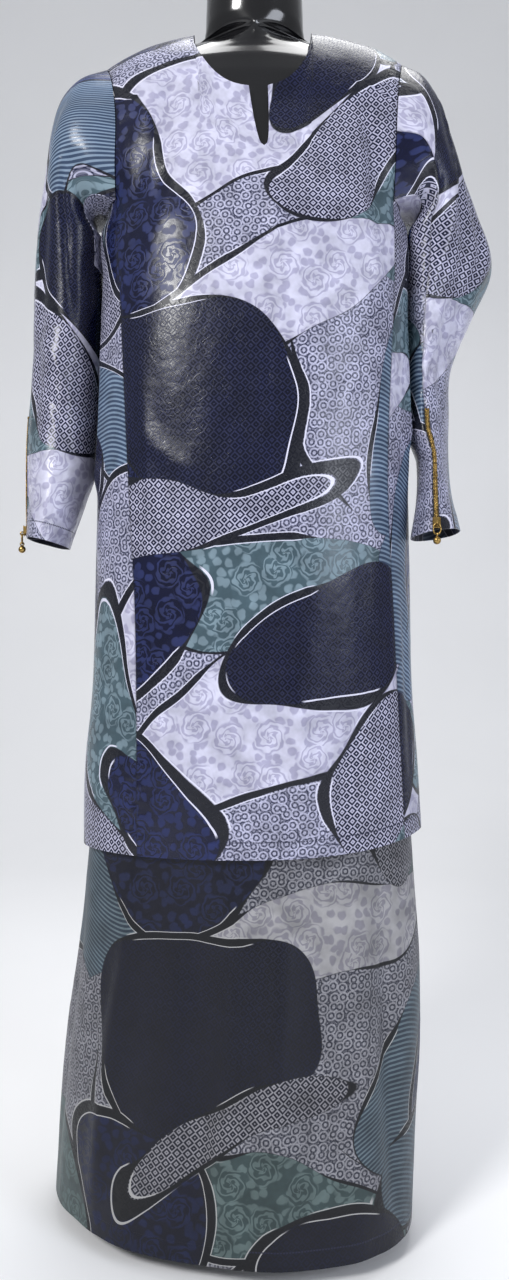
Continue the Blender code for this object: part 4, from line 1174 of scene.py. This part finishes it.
def twill_tape():
    """Black polyester tape woven in twill: dull, with slanting ribs of 0.6 mm, drawn at 1.2 mm to show."""
    material, tree, shader = new_material("zip_tape_twill")
    flat = add(tree, "UVMap", uv_map="flat")
    ribs = add(tree, "TexWave", {"Vector": flat, "Scale": WAVE_BAND / RIB_PITCH, "Distortion": 0.4},
               bands_direction="DIAGONAL").outputs["Fac"]
    mottle(tree, shader, ribs, ("08080a", "1b1b20"), (ribs, 0.5, 0.0002), {"Roughness": 0.72})
    return material


def antique_brass():
    """Brass plated zinc, tumbled and darkened: warm bare metal with brown tarnish that dulls it."""
    material, tree, shader = new_material("antique_brass_plate")
    place = add(tree, "TexCoord").outputs["Object"]
    stain = add(tree, "TexNoise", {"Vector": place, "Scale": 1 / TARNISH_SIZE, "Detail": 3.0,
                                   "Roughness": 0.6})
    share = add(tree, "MapRange", {"Value": stain, "From Min": 0.42, "From Max": 0.66})
    rough = add(tree, "MapRange", {"Value": share, "To Min": 0.26, "To Max": 0.48})
    mottle(tree, shader, share, ("b89a5c", "5f4a28"), (stain, 0.2, 0.0002),
           {"Roughness": rough, "Metallic": 1.0})
    return material


def lacquered_shell():
    """Glass fibre shell, sprayed black and polished: mirror-like, with a slow waver in the highlights."""
    material, tree, shader = new_material("lacquered_shell")
    place = add(tree, "TexCoord").outputs["Object"]
    waver = add(tree, "TexNoise", {"Vector": place, "Scale": 1 / WAVER_SIZE, "Detail": 1.0})
    rough = add(tree, "MapRange", {"Value": waver, "To Min": 0.12, "To Max": 0.22})
    mottle(tree, shader, waver, ("0b0b0d", "131316"), (waver, 0.3, 0.002),
           {"Roughness": rough, "Coat Weight": 0.3, "Coat Roughness": 0.08})
    return material


def powder_steel():
    """Mild steel with a black powder coat: half gloss, with the fine orange peel of the baked powder."""
    material, tree, shader = new_material("powder_coated_steel")
    place = add(tree, "TexCoord").outputs["Object"]
    peel = add(tree, "TexNoise", {"Vector": place, "Scale": 1 / PEEL_SIZE, "Detail": 2.0})
    mottle(tree, shader, peel, ("141416", "222226"), (peel, 0.3, 0.0002), {"Roughness": 0.42})
    return material


def backdrop_paper():
    """Seamless studio paper: pressed pulp, matt and almost white."""
    material, tree, shader = new_material("backdrop_paper")
    place = add(tree, "TexCoord").outputs["Object"]
    fibre = add(tree, "TexNoise", {"Vector": place, "Scale": 1 / PAPER_SIZE, "Detail": 2.0})
    tone = add(tree, "Mix", {"Factor": fibre, 6: linear("f4f4f5"), 7: linear("f9f9fa")}, data_type="RGBA")
    plug(tree, shader, {"Base Color": tone.outputs[2], "Roughness": 0.9})
    return material


def frame_at(sleeve, surface, angle, station):
    """Place on a sleeve with its directions across, up and out."""
    point = Vector(surface(angle, station) + np.array(PLACE))
    out = Vector(surface_normal(surface, angle, station, SLEEVE_STEPS) * sleeve["sense"])
    up = Vector(surface(angle, station - 0.05) - surface(angle, station + 0.05)).normalized()
    across = up.cross(out).normalized()
    return point, across, up, out


def add_box(mesh_data, size, centre, axes, bevel, segments=1):
    """A bevelled box about a centre, its sides along three directions."""
    matrix = Matrix.Translation(centre) @ Matrix(axes).transposed().to_4x4()
    made = bmesh.ops.create_cube(mesh_data, size=1)["verts"]
    bmesh.ops.scale(mesh_data, verts=made, vec=size)
    edges = {edge for vert in made for edge in vert.link_edges}
    made = bmesh.ops.bevel(mesh_data, geom=list(edges), offset=bevel, segments=segments, affect="EDGES")
    bmesh.ops.transform(mesh_data, verts=made["verts"], matrix=matrix)


def build_zip(sleeve, surface, stations, angles, tape, brass):
    """Tape between the edges of the sleeve, two rows of interlocking teeth, and the stops."""
    hand = sleeve["name"]
    grid = [[(angle, station) for angle in spaced(angles[0], angles[-1], 4)] for station in stations]
    drape("zip_tape_" + hand, "zip_" + hand, "zip_tape", surface, grid, (tape, tape), sense=sleeve["sense"],
          calm=0.2, hemmed=False)

    angle, last = sleeve["zip_angle"], stations[-1] - SLIDER_UP
    fine = spaced(stations[0] + 0.03, last, 400)
    places = [surface(angle, station) for station in fine]
    run = np.concatenate(([0], np.cumsum([np.linalg.norm(b - a) for a, b in zip(places, places[1:])])))
    mesh_data = bmesh.new()
    for tooth in range(int(run[-1] / TOOTH_PITCH * 2)):
        station = float(np.interp(tooth * TOOTH_PITCH / 2, run, fine))
        point, across, up, out = frame_at(sleeve, surface, angle, station)
        side = 1 if tooth % 2 else -1
        seat = point + across * side * TOOTH[0] * TOOTH_OFF_LINE + out * TOOTH[2] * TOOTH_PROUD
        add_box(mesh_data, TOOTH, seat, (across, up, out), TOOTH[1] * 0.22)
    point, across, up, out = frame_at(sleeve, surface, angle, fine[0])
    for side in (-1, 1):
        stop = point + across * side * STOP_AT[0] + up * STOP_AT[1] + out * STOP_AT[2]
        add_box(mesh_data, STOP, stop, (across, up, out), 0.0004, 2)
    settle(finish_mesh("zip_teeth_" + hand, mesh_data, (brass,)), "root", "antique_brass")


def circle_turns(steps):
    """Even angles round a full circle."""
    return [2 * math.pi * step / steps for step in range(steps)]


def join_rings(mesh_data, rings):
    """Faces between neighbouring rings of points, each ring closed."""
    for ring, after in zip(rings, rings[1:]):
        for step in range(len(ring)):
            beside = (step + 1) % len(ring)
            mesh_data.faces.new((ring[step], ring[beside], after[beside], after[step]))


def cap_rings(mesh_data, rings):
    mesh_data.faces.new(rings[0])
    mesh_data.faces.new(rings[-1])


def add_ring(mesh_data, centre, up, across, half_up, half_across, wire, steps, sides):
    """An oval ring of round wire in the plane of two directions."""
    plane_normal = up.cross(across)
    rings = []
    for turn in circle_turns(steps):
        spoke = up * math.cos(turn) * half_up + across * math.sin(turn) * half_across
        out = (up * math.cos(turn) / half_up + across * math.sin(turn) / half_across).normalized()
        section = [out * math.cos(roll) + plane_normal * math.sin(roll) for roll in circle_turns(sides)]
        rings.append([mesh_data.verts.new(centre + spoke + offset * wire) for offset in section])
    join_rings(mesh_data, rings + rings[:1])


def lathe(mesh_data, centre, profile, steps):
    """A solid of revolution about Z through a centre, from a profile of (radius, height)."""
    rings = []
    for radius, height in profile:
        spots = [(radius * math.cos(turn), radius * math.sin(turn), height) for turn in circle_turns(steps)]
        rings.append([mesh_data.verts.new(centre + Vector(spot)) for spot in spots])
    join_rings(mesh_data, rings)
    cap_rings(mesh_data, rings)


def build_pull(sleeve, surface, station, brass):
    """Slider with its bridge, the oval ring in its eye, and the ball drop with a cap and a link."""
    hand = sleeve["name"]
    point, *axes = frame_at(sleeve, surface, sleeve["zip_angle"], station - SLIDER_UP)
    across, up, out = axes
    width, length, thick = SLIDER
    seat = point + out * (TOUCH + thick / 2)
    mesh_data = bmesh.new()
    for side in (-1, 1):
        add_box(mesh_data, (width, length, PLATE), seat + out * side * (thick - PLATE) / 2, axes, 0.0005, 3)
    bridge = (width * 0.34, length * 0.36, thick * 0.9)
    add_box(mesh_data, bridge, seat + up * length * 0.28, axes, 0.0004, 2)
    flange = (0.0008, length * 0.8, thick * 0.9)
    for side in (-1, 1):
        centre = seat + across * side * (width / 2 - flange[0] / 2)
        add_box(mesh_data, flange, centre, axes, 0.0003, 2)
    level = Vector((across.x, across.y, 0)).normalized()
    down = Vector((0, 0, -1))
    forward = Vector((out.x, out.y, 0)).normalized()
    eye = seat + out * (thick / 2 + EYE_PROUD) - up * EYE_LOW
    add_ring(mesh_data, eye, down, forward, EYE_RADIUS, EYE_RADIUS, WIRE_RADIUS, 32, 12)
    slider = finish_mesh("zip_slider_" + hand, mesh_data, (brass,))
    settle(slider, "root", "antique_brass", "slider_" + hand)

    ring_centre = eye + down * RING_HALF[0]
    mesh_data = bmesh.new()
    add_ring(mesh_data, ring_centre, down, level, *RING_HALF, WIRE_RADIUS, 56, 14)
    ring = finish_mesh("oval_ring_" + hand, mesh_data, (brass,))
    settle(ring, "ring_" + hand, "antique_brass", "pull_ring_" + hand)

    drop_eye = ring_centre + down * RING_HALF[0]
    mesh_data = bmesh.new()
    add_ring(mesh_data, drop_eye, down, forward, EYE_RADIUS, EYE_RADIUS, WIRE_RADIUS, 28, 12)
    ball_centre = drop_eye + down * (EYE_RADIUS + BALL_RADIUS)
    round_side = [(math.sin(turn), -math.cos(turn)) for turn in spaced(0.06, math.pi - 0.30, 26)]
    profile = [(BALL_RADIUS * radius, BALL_RADIUS * height) for radius, height in round_side + list(BALL_CAP)]
    lathe(mesh_data, ball_centre, profile, 40)
    ball = finish_mesh("ball_" + hand, mesh_data, (brass,))
    settle(ball, "drop_" + hand, "antique_brass", "ball_drop_" + hand)


def build_tunic(cloth):
    """Front and back panel, and the four side gores."""
    grid, slit = body_panel(False, *FRONT_STEPS)
    gaps = {(level, slit) for level in range(len(grid) - 1)}
    pieces = [("front_panel", front_point, grid, 1, dict(gaps=gaps, slit=slit, creases=FRONT_CREASES))]
    grid, _ = body_panel(True, *BACK_STEPS)
    pieces.append(("back_panel", back_point, grid, -1, dict(creases=BACK_CREASES)))
    for side, hand in ((-1, "left"), (1, "right")):
        for at_back, place in ((False, "front"), (True, "back")):
            grid = gore_grid(side, at_back, *GORE_STEPS)
            surface = leaning_gore(side, hand, at_back)
            pieces.append((f"gore_{place}_{hand}", surface, grid, -side if at_back else side,
                           dict(creases=GORE_CREASES)))
    for number, (node, surface, grid, sense, extra) in enumerate(pieces):
        drape("cloth_" + node, node, "tunic_satin", surface, grid, cloth, CUTS[node], sense=sense,
              seed=number * 11.3, print_at=PRINT_AT[node], **extra)


def build_skirt(cloth):
    """Both halves of the skirt, and its band, which is stretched round the waist."""
    levels, columns = SKIRT_STEPS
    heights = spaced(SKIRT_HEM, WAIST - BAND_DEEP - SEAM_GAP, levels)
    halves = (("skirt_front", 0.0, SKIRT_CREASES), ("skirt_back", math.pi, SKIRT_BACK_CREASES))
    for number, (node, middle, creases) in enumerate(halves):
        across = spaced(middle - math.pi / 2, middle + math.pi / 2, columns)
        grid = [[(angle, z) for angle in across] for z in heights]
        drape("cloth_" + node, node, "skirt_satin", skirt_point, grid, cloth, CUTS[node], creases=creases,
              seed=90 + number * 5, print_at=PRINT_AT[node], calm=1.2)
    levels, columns = BAND_STEPS
    around = spaced(0, 2 * math.pi, columns)
    grid = [[(angle, z) for angle in around] for z in spaced(WAIST - BAND_DEEP, WAIST, levels)]
    drape("cloth_waistband", "waistband", "skirt_satin", skirt_point, grid, cloth, CUTS["waistband"],
          held="stretched", wrap=True, calm=0.2, print_at=PRINT_AT["waistband"], hemmed=False)


def build_form(gloss, steel):
    """Torso and neck of the dress form, smooth, in the CAD shape with finer steps."""
    heights = [row[0] for row in FORM]
    levels = sorted({round(z, 5) for low, high in zip(heights, heights[1:]) for z in spaced(low, high, 5)})
    mesh_data = bmesh.new()
    rings = []
    for z in levels:
        width, front, back, square = form_section(z)
        ring = []
        for turn in circle_turns(FORM_ROUND):
            x = width * signed_power(math.sin(turn), 2 / square)
            y = -(front if math.cos(turn) > 0 else back) * signed_power(math.cos(turn), 2 / square)
            ring.append(mesh_data.verts.new(Vector((x, y, z)) + Vector(PLACE)))
        rings.append(ring)
    join_rings(mesh_data, rings)
    cap_rings(mesh_data, rings)
    bmesh.ops.recalc_face_normals(mesh_data, faces=mesh_data.faces)
    settle(finish_mesh("form_shell", mesh_data, (gloss,)), "root", "form_gloss", "form_torso")
    for node in ("form_pole", "form_base"):
        for material_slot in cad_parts[node].material_slots:
            material_slot.material = steel


def form_section(z):
    """Straight mix between the two rows of the form that a height lies between."""
    for low, high in zip(FORM, FORM[1:]):
        if low[0] <= z <= high[0]:
            part = (z - low[0]) / (high[0] - low[0])
            return [mix(a, b, part) for a, b in zip(low[1:], high[1:])]


def add_light(name, place, target, size, power, tint):
    light = bpy.data.lights.new(name, "AREA")
    light.shape = "DISK"
    light.size = size
    light.energy = power
    light.color = linear(tint)[:3]
    lamp = bpy.data.objects.new(name, light)
    lamp.location = place
    lamp.rotation_euler = (Vector(target) - Vector(place)).to_track_quat("-Z", "Y").to_euler()
    bpy.context.collection.objects.link(lamp)


def build_studio():
    """Camera at the photograph's place, a pale floor that curves up behind, and soft lights."""
    camera = bpy.data.objects.new("camera", bpy.data.cameras.new("camera"))
    camera.data.sensor_fit = "VERTICAL"
    camera.data.angle_y = 2 * math.atan(VIEW_HEIGHT / 2 / VIEW_DISTANCE)
    camera.location = (PLACE[0], PLACE[1] - VIEW_DISTANCE, EYE_HEIGHT)
    camera.rotation_euler = (math.pi / 2, 0, 0)
    bpy.context.collection.objects.link(camera)
    bpy.context.scene.camera = camera

    mesh_data = bmesh.new()
    profile = [(-6.0, 0.0), (1.6, 0.0)] + [(1.6 + 1.5 * math.sin(t), 1.5 - 1.5 * math.cos(t))
                                           for t in spaced(0.1, math.pi / 2, 12)] + [(3.1, 5.0)]
    rows = [[mesh_data.verts.new((x, y, z)) for x in (-6.0, 6.0)] for y, z in profile]
    for row, after in zip(rows, rows[1:]):
        mesh_data.faces.new((row[0], row[1], after[1], after[0]))
    floor = finish_mesh("pale_floor", mesh_data, (backdrop_paper(),))

    for row in LIGHTS:
        add_light(*row)
    world = bpy.data.worlds.new("studio")
    bpy.context.scene.world = world
    world.use_nodes = True
    background = world.node_tree.nodes["Background"]
    background.inputs[0].default_value = linear("eef1f6")
    background.inputs[1].default_value = WORLD_LIGHT
    bpy.context.scene.view_settings.view_transform = "Standard"


def main():
    group = print_group()
    satin = printed_satin("printed_satin_jacquard", group, 0.24, 0.42, "f4f6ff", 0.05)
    skirt_satin = printed_satin("printed_satin_skirt", group, 0.42, 0.56, "b9bab2", 0.05)
    reverse = satin_back(group)
    brass = antique_brass()
    tape = twill_tape()
    build_form(lacquered_shell(), powder_steel())
    build_skirt((skirt_satin, reverse))
    build_tunic((satin, reverse))
    for sleeve, creases, seed in zip(SLEEVES, (LEFT_CREASES, RIGHT_CREASES), (41.0, 57.0)):
        surface, stations, angles = dress_sleeve(sleeve, (satin, reverse), creases, seed)
        build_zip(sleeve, surface, stations, angles, tape, brass)
        build_pull(sleeve, surface, stations[-1], brass)
    build_studio()


main()
